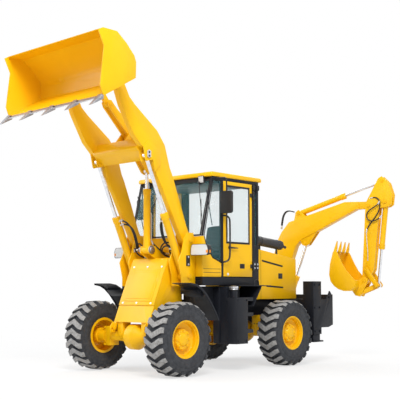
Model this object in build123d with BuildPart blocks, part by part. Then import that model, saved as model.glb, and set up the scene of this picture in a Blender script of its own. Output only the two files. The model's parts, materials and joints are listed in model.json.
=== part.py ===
"""Backhoe loader: rigid frame, steered front axle, front loader, side-shift backhoe.

Millimetres. The origin is on the ground, on the centreline, midway between the axles.
+Y points to the rear, +X to the machine's left, +Z up. The loader is raised and the
backhoe is swung out to the left, with its carriage at the right end of its rails.
"""
import os
from math import cos, hypot, radians, sin

from build123d import *

os.makedirs("parts", exist_ok=True)

# ---------------------------------------------------------------- driving dimensions
WHEELBASE = 2540
FRONT_Y = -WHEELBASE / 2
REAR_Y = WHEELBASE / 2
TRACK_X = 884.5
TYRE_R = 537.5
TYRE_W = 382
RIM_SEAT_R = 254
CLEAR = 0.1          # running clearance of a pin in its eye
SLIP = 0.3           # clearance of a rod in its barrel

ARM_IN, ARM_OUT = 490, 580      # loader arm box, from the centreline
TOWER_IN, TOWER_OUT = 440, 660  # inner and outer face of a loader tower
ARM_MID = (ARM_IN + ARM_OUT) / 2

# loader pivots in the side view, as (y, z)
ARM_PIVOT = (-772, 1997)
LIFT_BASE = (-794, 1446)
LIFT_EYE = (-1595, 3210)
BUCKET_PIVOT = (-2210, 4290)
ROCKER_PIVOT = (-1420, 3560)
TILT_EYE = (-1055, 3087)
TILT_BASE = (-1048, 1856)
ROCKER_TOP = (-1874, 3999)
LINK_TOP = (-2371, 4593)

# backhoe: swing axis in plan, and its pivots as (reach from the swing axis, height)
SWING_X, SWING_Y = -600, 2830
SWING_DEG = 77
BOOM_FOOT = (150, 1370)
BOOM_RAM_BASE = (242, 720)
BOOM_LUG = (724, 2112)
DIPPER_PIVOT = (1961, 2757)
DIPPER_RAM_BASE = (594, 2676)
DIPPER_EYE = (2217, 3193)
BUCKET_RAM_BASE = (2264, 2813)
REAR_BUCKET_PIVOT = (1867, 1408)
LEVER_PIVOT = (1906, 1615)
LEVER_END = (2098, 1321)
LINK_END = (1774, 1185)
REAR_BUCKET_HALF = 340

SIDE = Plane.YZ
REACH = Plane(
    origin=(SWING_X, SWING_Y, 0),
    x_dir=(sin(radians(SWING_DEG)), cos(radians(SWING_DEG)), 0),
    z_dir=(cos(radians(SWING_DEG)), -sin(radians(SWING_DEG)), 0),
)


# ---------------------------------------------------------------- helpers
def finish(piece, label):
    """Name a finished piece and write it."""
    piece.part.label = label
    export_step(piece.part, f"parts/{label}.step")


def plate(plane, outline, start, end, mode=Mode.ADD):
    """A closed outline on a plane, thick from one offset to the other."""
    with BuildSketch(plane.offset(start)) as profile:
        with BuildLine():
            Polyline(*outline, close=True)
        make_face()
    extrude(profile.sketch, amount=end - start, mode=mode)


def disc(plane, centre, radius, start, end, mode=Mode.ADD):
    """A round boss or hole on a plane, from one offset to the other."""
    with BuildSketch(plane.offset(start)) as profile:
        with Locations(centre):
            Circle(radius)
    extrude(profile.sketch, amount=end - start, mode=mode)


def block(x, y, z, mode=Mode.ADD):
    """A box between pairs of x, y and z."""
    with Locations(((x[0] + x[1]) / 2, (y[0] + y[1]) / 2, (z[0] + z[1]) / 2)):
        Box(abs(x[1] - x[0]), abs(y[1] - y[0]), abs(z[1] - z[0]), mode=mode)


def bar(start, end, radius, mode=Mode.ADD):
    """A round bar between two points in space."""
    run = Vector(*end) - Vector(*start)
    with BuildSketch(Plane(origin=start, z_dir=run)) as profile:
        Circle(radius)
    extrude(profile.sketch, amount=run.length, mode=mode)


def place(plane, point, offset):
    """The point in space of a plane's (x, y) at an offset from it."""
    return tuple(plane.from_local_coords((point[0], point[1], offset)))


def along(start, end, distance):
    """The point at a distance from start towards end."""
    run = hypot(end[0] - start[0], end[1] - start[1])
    return tuple(a + (b - a) * distance / run for a, b in zip(start, end))


def ram_barrel(label, plane, base, eye, length, radius, rod, pin, half, inner, offsets):
    """A cylinder's barrel: base eye, tube bored for the rod, and gland collar."""
    with BuildPart() as barrel:
        for offset in offsets:
            disc(plane, base, radius * 1.05, offset - half, offset + half)
            near = place(plane, along(base, eye, radius * 0.5), offset)
            collar = place(plane, along(base, eye, length - radius), offset)
            far = place(plane, along(base, eye, length), offset)
            bar(near, far, radius)
            bar(collar, far, radius * 1.14)
            deep = place(plane, along(base, eye, inner), offset)
            bar(deep, far, rod + SLIP, mode=Mode.SUBTRACT)
            disc(plane, base, pin + CLEAR, offset - radius * 1.2, offset + radius * 1.2, Mode.SUBTRACT)
    finish(barrel, label)


def capped_pin(centre, radius, cap_radius, start, end):
    """A pin across the machine, with a retaining cap on each end."""
    cap = 16 if end > start else -16
    disc(SIDE, centre, radius, start, end)
    disc(SIDE, centre, cap_radius, start - cap, start)
    disc(SIDE, centre, cap_radius, end, end + cap)


def ram_rod(label, plane, base, eye, inner, rod, eye_radius, half, offsets):
    """A cylinder's chromed rod, with its eye."""
    with BuildPart() as shaft:
        for offset in offsets:
            bar(place(plane, along(base, eye, inner), offset), place(plane, eye, offset), rod)
            disc(plane, eye, eye_radius, offset - half, offset + half)
    finish(shaft, label)


# ---------------------------------------------------------------- wheels
LUGS = 22
LUG_H = 40
CARCASS_R = TYRE_R - LUG_H

# half section of the carcass, as (distance from the wheel's middle, radius)
CARCASS = [(0, RIM_SEAT_R), (150, RIM_SEAT_R), (150, 280), (178, 305), (190, 390),
           (184, 462), (160, CARCASS_R - 8), (0, CARCASS_R)]
# one lug in plan, as (across the tread, around the tread)
LUG = [(0, -46), (150, 34), (188, 40), (188, 116), (142, 116), (0, 40)]

with BuildPart() as tread:
    with BuildSketch(Plane.XY.offset(CARCASS_R - 30)):
        with BuildLine():
            Polyline(*LUG, *[(-x, y) for x, y in reversed(LUG[1:-1])], close=True)
        make_face()
    extrude(amount=LUG_H + 40)
    with BuildSketch(Plane.XY):
        with BuildLine():
            Polyline((-191, CARCASS_R - 25), (-191, TYRE_R - 22), (-150, TYRE_R - 3), (0, TYRE_R),
                     (150, TYRE_R - 3), (191, TYRE_R - 22), (191, CARCASS_R - 25), close=True)
        make_face()
    revolve(axis=Axis.X, mode=Mode.INTERSECT)

with BuildPart() as tyre:
    with BuildSketch(Plane.XY):
        with BuildLine():
            Polyline(*CARCASS, *[(-x, r) for x, r in reversed(CARCASS[1:-1])], close=True)
        make_face()
    revolve(axis=Axis.X)
    for index in range(LUGS):
        add(tread.part.rotate(Axis.X, 360 / LUGS * index))

# half section of the rim, as (distance towards the outer side, radius)
RIM_SECTION = [(-164, 238), (-164, 275), (-150, 275), (-150, RIM_SEAT_R - 0.01), (150, RIM_SEAT_R - 0.01),
               (150, 275), (164, 275), (164, 240), (60, 236), (60, 150), (92, 120), (92, 0),
               (20, 0), (20, 120), (36, 236), (-100, 238)]

with BuildPart() as rim:
    with BuildSketch(Plane.XY):
        with BuildLine():
            Polyline(*RIM_SECTION, close=True)
        make_face()
    revolve(axis=Axis.X)
    with BuildSketch(Plane.YZ.offset(92)):
        Circle(62)
    extrude(amount=30)

WHEELS = [("front_left", 1, FRONT_Y), ("front_right", -1, FRONT_Y),
          ("rear_left", 1, REAR_Y), ("rear_right", -1, REAR_Y)]
for corner, side, y in WHEELS:
    for kind, piece in (("tyre", tyre), ("rim", rim)):
        with BuildPart() as wheel:
            turned = piece.part if side > 0 else piece.part.rotate(Axis.Z, 180)
            add(turned.moved(Location((side * TRACK_X, y, TYRE_R))))
        finish(wheel, f"{kind}_{corner}")

# ---------------------------------------------------------------- axles and knuckles
KINGPIN_X = 640
AXLE_Z = TYRE_R

def axle_tube(half, tube, bulb, y):
    """An axle casing turned about its own line, with the bulb of its differential in the middle."""
    casing = [(-half, 0), (-half, tube), (-bulb * 1.3, tube), (-bulb * 0.72, bulb * 0.72),
              (-bulb * 0.35, bulb),
              (bulb * 0.35, bulb), (bulb * 0.72, bulb * 0.72), (bulb * 1.3, tube), (half, tube),
              (half, 0)]
    with BuildSketch(Plane((0, y, AXLE_Z), x_dir=(1, 0, 0), z_dir=(0, -1, 0))) as profile:
        with BuildLine():
            Polyline(*casing, close=True)
        make_face()
    revolve(profile.sketch, Axis((0, y, AXLE_Z), (1, 0, 0)))


with BuildPart() as front_axle:
    axle_tube(540, 72, 192, FRONT_Y)
    bar((0, FRONT_Y, AXLE_Z), (0, FRONT_Y + 330, AXLE_Z), 85)
    for side in (-1, 1):
        block((side * 482, side * 575), (FRONT_Y - 90, FRONT_Y + 90), (AXLE_Z - 145, AXLE_Z + 145))
        for low, high in ((AXLE_Z + 112, AXLE_Z + 145), (AXLE_Z - 145, AXLE_Z - 112)):
            block((side * 560, side * 640), (FRONT_Y - 60, FRONT_Y + 60), (low, high))
            disc(Plane.XY, (side * KINGPIN_X, FRONT_Y), 64, low, high)
            disc(Plane.XY, (side * KINGPIN_X, FRONT_Y), 28 + CLEAR, low, high, Mode.SUBTRACT)
    for side in (-1, 1):
        block((side * 200, side * 320), (FRONT_Y - 80, FRONT_Y + 80), (AXLE_Z, 755))
    bar((-330, FRONT_Y + 150, AXLE_Z), (330, FRONT_Y + 150, AXLE_Z), 38)
    bar((-440, FRONT_Y + 150, AXLE_Z), (440, FRONT_Y + 150, AXLE_Z), 20)
    for side in (-1, 1):
        block((side * 255, side * 300), (FRONT_Y, FRONT_Y + 150), (AXLE_Z - 30, AXLE_Z + 30))
finish(front_axle, "front_axle")

for name, side in (("left", 1), ("right", -1)):
    with BuildPart() as knuckle:
        disc(Plane.XY, (side * KINGPIN_X, FRONT_Y), 56, AXLE_Z - 106, AXLE_Z + 106)
        disc(Plane.XY, (side * KINGPIN_X, FRONT_Y), 28, AXLE_Z - 140, AXLE_Z + 140)
        bar((side * KINGPIN_X, FRONT_Y, AXLE_Z), (side * 800, FRONT_Y, AXLE_Z), 92)
        bar((side * 790, FRONT_Y, AXLE_Z), (side * 904.5, FRONT_Y, AXLE_Z), 118)
    finish(knuckle, f"knuckle_{name}")

with BuildPart() as rear_axle:
    bar((-800, REAR_Y, AXLE_Z), (800, REAR_Y, AXLE_Z), 78)
    with Locations((0, REAR_Y, AXLE_Z)):
        Sphere(192)
    bar((0, REAR_Y, AXLE_Z), (0, REAR_Y - 330, AXLE_Z), 85)
    for side in (-1, 1):
        bar((side * 640, REAR_Y, AXLE_Z), (side * 800, REAR_Y, AXLE_Z), 105)
        bar((side * 790, REAR_Y, AXLE_Z), (side * 904.5, REAR_Y, AXLE_Z), 118)
        block((side * 250, side * 380), (REAR_Y - 85, REAR_Y + 85), (AXLE_Z, 819))
finish(rear_axle, "rear_axle")

# ---------------------------------------------------------------- chassis
CORE_HALF = 385
NOSE = [(-1420, 640), (-958, 1727)]      # the sloping front, bottom and top
CORE = [*NOSE, (-670, 1727), (-670, 830), (-1010, 760), (-1330, 760), (-1375, 640)]
TOWER = [(-855, 2105), (-709, 2106), (-691, 2012), (-667, 1923), (-667, 1300), (-961, 1300),
         (-961, 1432), (-1024, 1670), (-953, 1822), (-925, 1947)]
TOWER_T = 20
PIN = 32                        # lift cylinder and arm foot pins
LINKAGE_PIN = 42                # tilt linkage and bucket pivots
LINK_PIN = 38                   # top of the bucket link

with BuildPart() as front_frame:
    plate(SIDE, CORE, -CORE_HALF, CORE_HALF)
    for side in (-1, 1):
        plate(SIDE, TOWER, side * TOWER_IN, side * (TOWER_IN + TOWER_T))
        plate(SIDE, TOWER, side * (TOWER_OUT - TOWER_T), side * TOWER_OUT)
        block((side * CORE_HALF, side * TOWER_OUT), (-860, -667), (1300, 1325))
        block((side * CORE_HALF, side * TOWER_OUT), (-687, -667), (1300, 1850))
        for pivot in (ARM_PIVOT, LIFT_BASE):
            disc(SIDE, pivot, PIN, side * (TOWER_IN - 8), side * (TOWER_OUT + 8))
        plate(SIDE, [(-1108, 1810), (-1098, 1905), (-1030, 1925), (-667, 1850), (-667, 1720),
                     (-955, 1727)],
              side * 72, side * 94)
        disc(SIDE, TILT_BASE, LINKAGE_PIN + CLEAR, side * 72, side * 94, Mode.SUBTRACT)
    block((-TOWER_IN, TOWER_IN), (-700, -667), (1700, 1850))
    block((-330, 330), (-1500, -1290), (600, 757), Mode.SUBTRACT)
    for side in (-1, 1):
        plate(SIDE, [(-1460, 600), (-1460, 700), (-1400, 760), (-1370, 690), (-1370, 600)],
              side * 355, side * 380)
        disc(SIDE, (-1428, 650), 22, side * 355, side * 380, Mode.SUBTRACT)
finish(front_frame, "front_frame")

COVER_LOW, COVER_HIGH, COVER_T = 400, 1160, 14
nose_length = hypot(NOSE[1][0] - NOSE[0][0], NOSE[1][1] - NOSE[0][1])
slope = ((NOSE[1][0] - NOSE[0][0]) / nose_length, (NOSE[1][1] - NOSE[0][1]) / nose_length)


def on_nose(run, out):
    """A point on the sloping front, a run up it and a distance out of it."""
    return (NOSE[0][0] + slope[0] * run - slope[1] * out, NOSE[0][1] + slope[1] * run + slope[0] * out)


with BuildPart() as front_cover:
    plate(SIDE, [on_nose(COVER_LOW, 0), on_nose(COVER_HIGH, 0), on_nose(COVER_HIGH, COVER_T),
                 on_nose(COVER_LOW, COVER_T)], -CORE_HALF, CORE_HALF)
finish(front_cover, "front_cover")

DECK_Z = 1083
RAIL_HALF = 380
STAB_X, STAB_Y, STAB_Z = (834, 1050), (1855, 2084), (490, 1387)
SHIFT_BACK = 2430
SHIFT_END = [(2084, 600), (2084, 1076), (2250, 1076), (2348, 1222), (SHIFT_BACK, 1130),
             (SHIFT_BACK, 640), (2300, 600)]
LASHING_EYE = (2312, 1112)

with BuildPart() as rear_frame:
    block((-RAIL_HALF, RAIL_HALF), (-670, STAB_Y[1]), (820, DECK_Z))
    block((-STAB_X[0], STAB_X[0]), STAB_Y, (680, DECK_Z))
    for side in (-1, 1):
        block((side * STAB_X[0], side * STAB_X[1]), STAB_Y, STAB_Z)
        block((side * (STAB_X[0] + 14), side * (STAB_X[1] - 14)), (STAB_Y[0] + 14, STAB_Y[1] - 14),
              (STAB_Z[0], STAB_Z[1] - 20), Mode.SUBTRACT)
        plate(SIDE, SHIFT_END, side * 1026, side * 1050)
        disc(SIDE, LASHING_EYE, 20, side * 1026, side * 1050, Mode.SUBTRACT)
    block((-1050, 1050), (2250, SHIFT_BACK), (1000, 1076))
    block((-1050, 1050), (2350, SHIFT_BACK), (1076, 1160))
    block((-1050, 1050), (2250, SHIFT_BACK), (640, 720))
    for x in (-400, 400):
        block((x - 60, x + 60), (STAB_Y[1], SHIFT_BACK - 80), (640, 1076))
finish(rear_frame, "rear_frame")

for name, side in (("left", 1), ("right", -1)):
    with BuildPart() as leg:
        block((side * (STAB_X[0] + 19), side * (STAB_X[1] - 19)), (STAB_Y[0] + 19, STAB_Y[1] - 19),
              (385, 1200))
        block((side * 810, side * 1070), (1830, 2110), (360, 385))
    finish(leg, f"stabilizer_{name}")

with BuildPart() as engine:
    block((-280, 280), (1000, 1850), (1100, 1620))
finish(engine, "engine")

HOOD_HALF = 560
HOOD = [(895, DECK_Z + 2), (895, 1933), (2030, 1778), (2035, DECK_Z + 2)]
with BuildPart() as hood:
    plate(SIDE, HOOD, -HOOD_HALF, HOOD_HALF)
    block((-HOOD_HALF + 20, HOOD_HALF - 20), (915, 2015), (DECK_Z, 1740), Mode.SUBTRACT)
finish(hood, "hood")

with BuildPart() as muffler:
    bar((400, 1087, 2080), (400, 1808, 2014), 80)
    bar((400, 1000, 2088), (400, 1087, 2080), 28)
    bar((400, 1808, 2014), (400, 1930, 1990), 26)
    for y, top in ((1180, 2010), (1650, 1950)):
        block((370, 430), (y, y + 60), (1933 - (y - 895) * 0.1365, top))
finish(muffler, "muffler")

# ---------------------------------------------------------------- cab
CAB_HALF = 800
FLOOR_Z, SILL_Z, EAVES_Z = 1316, 1450, 2990
FRONT_POST, REAR_POST, CAB_BACK = (-217, -179), (530, 600), 690
GLASS_TOP, GLASS_LOW = (-435, EAVES_Z), (-655, 2060)
HINGE_X, HINGE_Y, HINGE_R = CAB_HALF + 18, 535, 12
HINGE_Z = (1618, 2760)

with BuildPart() as cab_frame:
    block((-CAB_HALF, CAB_HALF), (-655, CAB_BACK), (FLOOR_Z, 1356))
    for side in (-1, 1):
        outer, inner = side * CAB_HALF, side * (CAB_HALF - 50)
        block((outer, inner), (-655, CAB_BACK), (FLOOR_Z, SILL_Z - 12))
        for low, high in (FRONT_POST, REAR_POST):
            block((outer, inner), (low, high), (FLOOR_Z, EAVES_Z))
        block((outer, inner), (CAB_BACK - 50, CAB_BACK), (FLOOR_Z, EAVES_Z))
        block((outer, inner), (600, CAB_BACK), (FLOOR_Z, 1960))
        plate(SIDE, [GLASS_TOP, (GLASS_TOP[0] + 16, EAVES_Z), (GLASS_LOW[0] + 16, GLASS_LOW[1]),
                     GLASS_LOW],
              outer, side * (CAB_HALF - 30))
        block((outer, inner), (GLASS_TOP[0] + 4, CAB_BACK), (EAVES_Z - 45, EAVES_Z))
        for z in HINGE_Z:
            for low, high in ((z - 75, z - 36), (z + 36, z + 75)):
                bar((side * HINGE_X, HINGE_Y, low), (side * HINGE_X, HINGE_Y, high), HINGE_R)
                block((side * (CAB_HALF + 6), side * (CAB_HALF + 12)), (HINGE_Y, 600), (low, high))
                block((outer, side * (CAB_HALF + 12)), (560, 600), (low, high))
    block((-CAB_HALF, CAB_HALF), (GLASS_TOP[0] + 4, GLASS_TOP[0] + 60), (EAVES_Z - 45, EAVES_Z))
    block((-CAB_HALF, CAB_HALF), (CAB_BACK - 50, CAB_BACK), (EAVES_Z - 45, EAVES_Z))
    block((-CAB_HALF, CAB_HALF), (CAB_BACK - 50, CAB_BACK), (FLOOR_Z, 1960))
finish(cab_frame, "cab_frame")

with BuildPart() as cab_roof:
    plate(SIDE, [(-470, EAVES_Z), (-470, 3045), (-440, 3062), (735, 3060), (755, 3040), (755, EAVES_Z)],
          -CAB_HALF - 15, CAB_HALF + 15)
finish(cab_roof, "cab_roof")

COWL = [(-655, SILL_Z - 10), (-219, SILL_Z - 10), (-219, 1655), (-424, 1729), (-560, 1900), (-618, 2058),
        (-655, 2058)]
with BuildPart() as cab_cowl:
    plate(SIDE, COWL, -CAB_HALF + 2, CAB_HALF - 2)
    plate(SIDE, [(-630, 1400), (-180, 1400), (-180, 1615), (-440, 1700), (-590, 1900), (-630, 2000)],
          -CAB_HALF + 27, CAB_HALF - 27, Mode.SUBTRACT)
finish(cab_cowl, "cab_cowl")

PANE = 6
with BuildPart() as cab_glass:
    plate(SIDE, [(GLASS_TOP[0] + 2, EAVES_Z - 50), (GLASS_TOP[0] + 2 + PANE, EAVES_Z - 50),
                 (GLASS_LOW[0] + 8 + PANE, GLASS_LOW[1] + 10), (GLASS_LOW[0] + 8, GLASS_LOW[1] + 10)],
          -CAB_HALF + 34, CAB_HALF - 34)
    for side in (-1, 1):
        plate(SIDE, [(-409, EAVES_Z - 50), (-222, EAVES_Z - 50), (-222, 1664), (-420, 1738),
                     (-552, 1905), (-608, 2058), (-622, 2068)],
              side * (CAB_HALF - 12), side * (CAB_HALF - 18))
        block((side * (CAB_HALF - 12), side * (CAB_HALF - 18)), (604, CAB_BACK - 54),
              (1964, EAVES_Z - 50))
    block((-CAB_HALF + 54, CAB_HALF - 54), (CAB_BACK - 30, CAB_BACK - 24), (1964, EAVES_Z - 50))
finish(cab_glass, "cab_glass")

DOOR_Y, DOOR_Z = (-172, 522), (SILL_Z, 2938)
for name, side in (("left", 1), ("right", -1)):
    outer, inner = side * CAB_HALF, side * (CAB_HALF - 28)
    with BuildPart() as door:
        block((outer, inner), DOOR_Y, DOOR_Z)
        block((outer, inner), (-110, 462), (1965, 2880), Mode.SUBTRACT)
        for z in HINGE_Z:
            bar((side * HINGE_X, HINGE_Y, z - 30), (side * HINGE_X, HINGE_Y, z + 30), HINGE_R)
            block((side * (CAB_HALF + 6), side * (CAB_HALF + 12)), (490, HINGE_Y), (z - 30, z + 30))
            block((outer, side * (CAB_HALF + 12)), (470, 500), (z - 30, z + 30))
    finish(door, f"door_{name}")
    with BuildPart() as pane:
        block((side * (CAB_HALF - 10), side * (CAB_HALF - 16)), (-110, 462), (1965, 2880))
    finish(pane, f"glass_{name}")

with BuildPart() as seat:
    block((-240, 240), (100, 560), (1640, 1760))
    block((-230, 230), (500, 600), (1760, 2320))
    block((-170, 170), (160, 500), (1356, 1640))
finish(seat, "seat")

with BuildPart() as console:
    bar((0, -150, 1362), (0, -110, 1960), 40)
    bar((0, -115, 1950), (0, -95, 1985), 190)
finish(console, "console")

FILLER = (975, -140)
STEP_TOPS = (633, 891, 1125)
with BuildPart() as side_tanks:
    for side in (-1, 1):
        plan = [(630, -210), (935, -210), (1050, -150), (1050, 110), (630, 110)]
        with BuildSketch(Plane.XY.offset(418)) as profile:
            with BuildLine():
                Polyline(*[(side * x, y) for x, y in plan], close=True)
            make_face()
        extrude(profile.sketch, amount=1125 - 418)
        block((side * 630, side * 880), (-210, 110), (1125, 1296))
        block((side * 400, side * 640), (-655, -200), (800, 1296))
        block((side * 640, side * 760), (-240, -210), (430, 1290))
        for top in STEP_TOPS:
            block((side * 860, side * 1040), (110, 255), (top - 55, top))
        disc(Plane.XY, (side * FILLER[0], FILLER[1]), 58, 1125, 1285)
        disc(Plane.XY, (side * FILLER[0], FILLER[1]), 66, 1255, 1300)
finish(side_tanks, "side_tanks")

# the front fender's run in the side view, from above the axle down behind the wheel
FENDER = [(-1190, 1345), (-1060, 1325), (-960, 1275), (-850, 1180), (-733, 1040), (-650, 920),
          (-577, 790)]
FENDER_LOW = [(-1190, 1335), (-1064, 1315), (-967, 1266), (-858, 1173), (-741, 1034), (-659, 915),
              (-587, 788)]
FENDER_LIP_LOW = [(-1190, 1319), (-1070, 1298), (-978, 1251), (-870, 1161), (-754, 1025), (-673, 907),
                  (-603, 785)]
with BuildPart() as fenders:
    for side in (-1, 1):
        plate(SIDE, [(-85, 1302), (-85, 1314), (700, 1314), (700, 1302), (460, 1302), (250, 990),
                     (240, 998),
                     (445, 1300)], side * 630, side * 1050)
        plate(SIDE, FENDER + FENDER_LOW[::-1], side * 690, side * 1070)
        plate(SIDE, FENDER + FENDER_LIP_LOW[::-1], side * 1058, side * 1070)
        plate(SIDE, [(-967, 1266), (-993, 1237), (-883, 1142), (-858, 1173)], side * 661, side * 1000)
        block((side * 640, side * 661), (-960, -870), (1180, 1300))
finish(fenders, "fenders")

with BuildPart() as headlamps:
    for side in (-1, 1):
        block((side * 680, side * 1040), (-800, -680), (1752, 1930))
        bar((side * 660, -740, 1830), (side * 700, -740, 1830), 25)
finish(headlamps, "headlamps")

with BuildPart() as mirrors:
    for side in (-1, 1):
        block((side * 815, side * 1065), (-280, -240), (2413, 2770))
        bar((side * 812, -330, 2960), (side * 900, -260, 2960), 12)
        bar((side * 900, -260, 2972), (side * 900, -260, 2700), 12)
finish(mirrors, "mirrors")

# ---------------------------------------------------------------- loader
ARM = [(-2283, 4309), (-2262, 4343), (-2220, 4364), (-2180, 4358), (-2150, 4332), (-1962, 4004),
       (-1847, 3904), (-1405, 3587), (-1248, 3391), (-1140, 3059), (-1087, 2961), (-920, 2561),
       (-781, 2211), (-700, 2050), (-700, 1960), (-772, 1915), (-850, 1960), (-988, 2200),
       (-1289, 2751), (-1408, 2930), (-1485, 3080), (-1505, 3210), (-1570, 3300), (-1720, 3330),
       (-1877, 3481),
       (-2115, 3879), (-2255, 4232), (-2281, 4262)]
BEAM = [(-1745, 3307), (-1525, 3148), (-1408, 3310), (-1628, 3469)]
BRACKET = [(-1700, 3370), (-1480, 3640), (-1420, 3670), (-1350, 3620), (-1340, 3540), (-1408, 3310)]

with BuildPart() as loader_arm:
    for side in (-1, 1):
        plate(SIDE, ARM, side * ARM_IN, side * ARM_OUT)
        disc(SIDE, ARM_PIVOT, 75, side * (TOWER_IN + TOWER_T + 6), side * (TOWER_OUT - TOWER_T - 6))
        disc(SIDE, ARM_PIVOT, PIN + CLEAR, side * 400, side * 700, Mode.SUBTRACT)
        disc(SIDE, BUCKET_PIVOT, LINKAGE_PIN + CLEAR, side * 400, side * 700, Mode.SUBTRACT)
        for low, high in ((ARM_IN - 16, ARM_IN), (ARM_OUT, ARM_OUT + 16)):
            plate(SIDE, [(-1672, 3215), (-1650, 3130), (-1632, 3112), (-1500, 3148), (-1455, 2975),
                         (-1350, 3080),
                         (-1350, 3300), (-1590, 3420), (-1700, 3330)], side * low, side * high)
        plate(SIDE, BRACKET, side * 84, side * 104)
        disc(SIDE, ROCKER_PIVOT, LINKAGE_PIN + CLEAR, side * 84, side * 104, Mode.SUBTRACT)
    plate(SIDE, BEAM, -ARM_IN, ARM_IN)
finish(loader_arm, "loader_arm")

LIFT = dict(plane=SIDE, base=LIFT_BASE, eye=LIFT_EYE, offsets=(-ARM_MID, ARM_MID))
ram_barrel("lift_barrels", length=1022, radius=56, rod=30, pin=PIN, half=62, inner=80, **LIFT)
ram_rod("lift_rods", inner=905, rod=30, eye_radius=52, half=36, **LIFT)
TILT = dict(plane=SIDE, base=TILT_BASE, eye=TILT_EYE, offsets=(0,))
ram_barrel("tilt_barrel", length=935, radius=55, rod=30, pin=LINKAGE_PIN, half=66, inner=300, **TILT)
ram_rod("tilt_rod", inner=700, rod=30, eye_radius=54, half=38, **TILT)

with BuildPart() as tilt_pin:
    capped_pin(TILT_BASE, LINKAGE_PIN, 64, -95, 95)
finish(tilt_pin, "tilt_pin")

with BuildPart() as rocker_pin:
    capped_pin(ROCKER_PIVOT, LINKAGE_PIN, 64, -105, 105)
finish(rocker_pin, "rocker_pin")

ROCKER = [(-1930, 4015), (-1905, 4050), (-1860, 4050), (-1742, 3935), (-1624, 3850), (-1507, 3740),
          (-1430, 3640),
          (-1350, 3560), (-1000, 3110), (-1000, 3040), (-1060, 3020), (-1120, 3050), (-1440, 3480),
          (-1500, 3560),
          (-1900, 3950)]
with BuildPart() as rocker:
    for side in (-1, 1):
        plate(SIDE, ROCKER, side * 44, side * 72)
        disc(SIDE, ROCKER_TOP, 36, side * 72, side * 82)
    disc(SIDE, ROCKER_PIVOT, 60, -44, 44)
    disc(SIDE, ROCKER_PIVOT, LINKAGE_PIN + CLEAR, -80, 80, Mode.SUBTRACT)
finish(rocker, "rocker")

with BuildPart() as link_pin:
    capped_pin(LINK_TOP, LINK_PIN, 56, -65, 65)
finish(link_pin, "link_pin")

with BuildPart() as bucket_link:
    start, end = ROCKER_TOP, LINK_TOP
    run = hypot(end[0] - start[0], end[1] - start[1])
    across = ((end[1] - start[1]) / run * 42, -(end[0] - start[0]) / run * 42)
    plate(SIDE, [(start[0] + across[0], start[1] + across[1]), (end[0] + across[0], end[1] + across[1]),
                 (end[0] - across[0], end[1] - across[1]), (start[0] - across[0], start[1] - across[1])],
                 -24, 24)
    disc(SIDE, start, 50, -38, 38)
    disc(SIDE, end, 50, -38, 38)
    disc(SIDE, end, LINK_PIN + CLEAR, -38, 38, Mode.SUBTRACT)
finish(bucket_link, "bucket_link")

with BuildPart() as bucket_pins:
    for side in (-1, 1):
        capped_pin(BUCKET_PIVOT, LINKAGE_PIN, 66, side * (ARM_IN - 29), side * (ARM_OUT + 29))
finish(bucket_pins, "bucket_pins")

# front bucket in its own frame: forward along the floor from the heel, and up from the floor
BUCKET_HEEL, BUCKET_NOSE_DOWN, BUCKET_HALF = (-2281, 4147), 30.7, 1070


def in_bucket(forward, up):
    """A point of the bucket's own frame in the side view."""
    c, s = cos(radians(BUCKET_NOSE_DOWN)), sin(radians(BUCKET_NOSE_DOWN))
    return (BUCKET_HEEL[0] - forward * c - up * s, BUCKET_HEEL[1] - forward * s + up * c)


SHELL = [(688, 0), (20, 0), (-98, 188), (-111, 281), (-60, 476), (24, 675), (239, 800), (330, 800),
         (346, 574), (667, 154)]
BUCKET_T = 18
with BuildPart() as front_bucket:
    plate(SIDE, [in_bucket(*p) for p in SHELL], -BUCKET_HALF, BUCKET_HALF)
    with BuildSketch(SIDE.offset(-BUCKET_HALF + BUCKET_T)):
        with BuildLine():
            Polyline(*[in_bucket(*p) for p in SHELL], close=True)
        make_face()
        offset(amount=-BUCKET_T, kind=Kind.INTERSECTION)
    extrude(amount=2 * (BUCKET_HALF - BUCKET_T), mode=Mode.SUBTRACT)
    mouth = [(740, BUCKET_T), (600, BUCKET_T), (300, 500), (240, 760), (340, 900), (900, 600)]
    plate(SIDE, [in_bucket(*p) for p in mouth], -BUCKET_HALF + BUCKET_T, BUCKET_HALF - BUCKET_T,
          Mode.SUBTRACT)
    for side in (-1, 1):
        for low, high in ((ARM_IN - 28, ARM_IN - 8), (ARM_OUT + 8, ARM_OUT + 28)):
            plate(SIDE, [in_bucket(-60, 120), in_bucket(-100, 30), in_bucket(-200, 30),
                         in_bucket(-215, 130),
                         in_bucket(-160, 250), in_bucket(-95, 280)], side * low, side * high)
            disc(SIDE, BUCKET_PIVOT, LINKAGE_PIN + CLEAR, side * low, side * high, Mode.SUBTRACT)
        plate(SIDE, [in_bucket(-100, 250), in_bucket(-215, 400), in_bucket(-210, 480),
                     in_bucket(-130, 500),
                     in_bucket(-45, 480)], side * 44, side * 64)
        disc(SIDE, LINK_TOP, LINK_PIN + CLEAR, side * 44, side * 64, Mode.SUBTRACT)
finish(front_bucket, "front_bucket")

with BuildPart() as bucket_teeth:
    plate(SIDE, [in_bucket(689, 0), in_bucket(689, 20), in_bucket(760, 4), in_bucket(770, -8),
                 in_bucket(689, -12)],
          -BUCKET_HALF, BUCKET_HALF)
    for index in range(5):
        x = -1024 + index * 512
        plate(SIDE, [in_bucket(700, 36), in_bucket(929, -27), in_bucket(700, -36)], x - 40, x + 40)
finish(bucket_teeth, "bucket_teeth")

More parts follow.
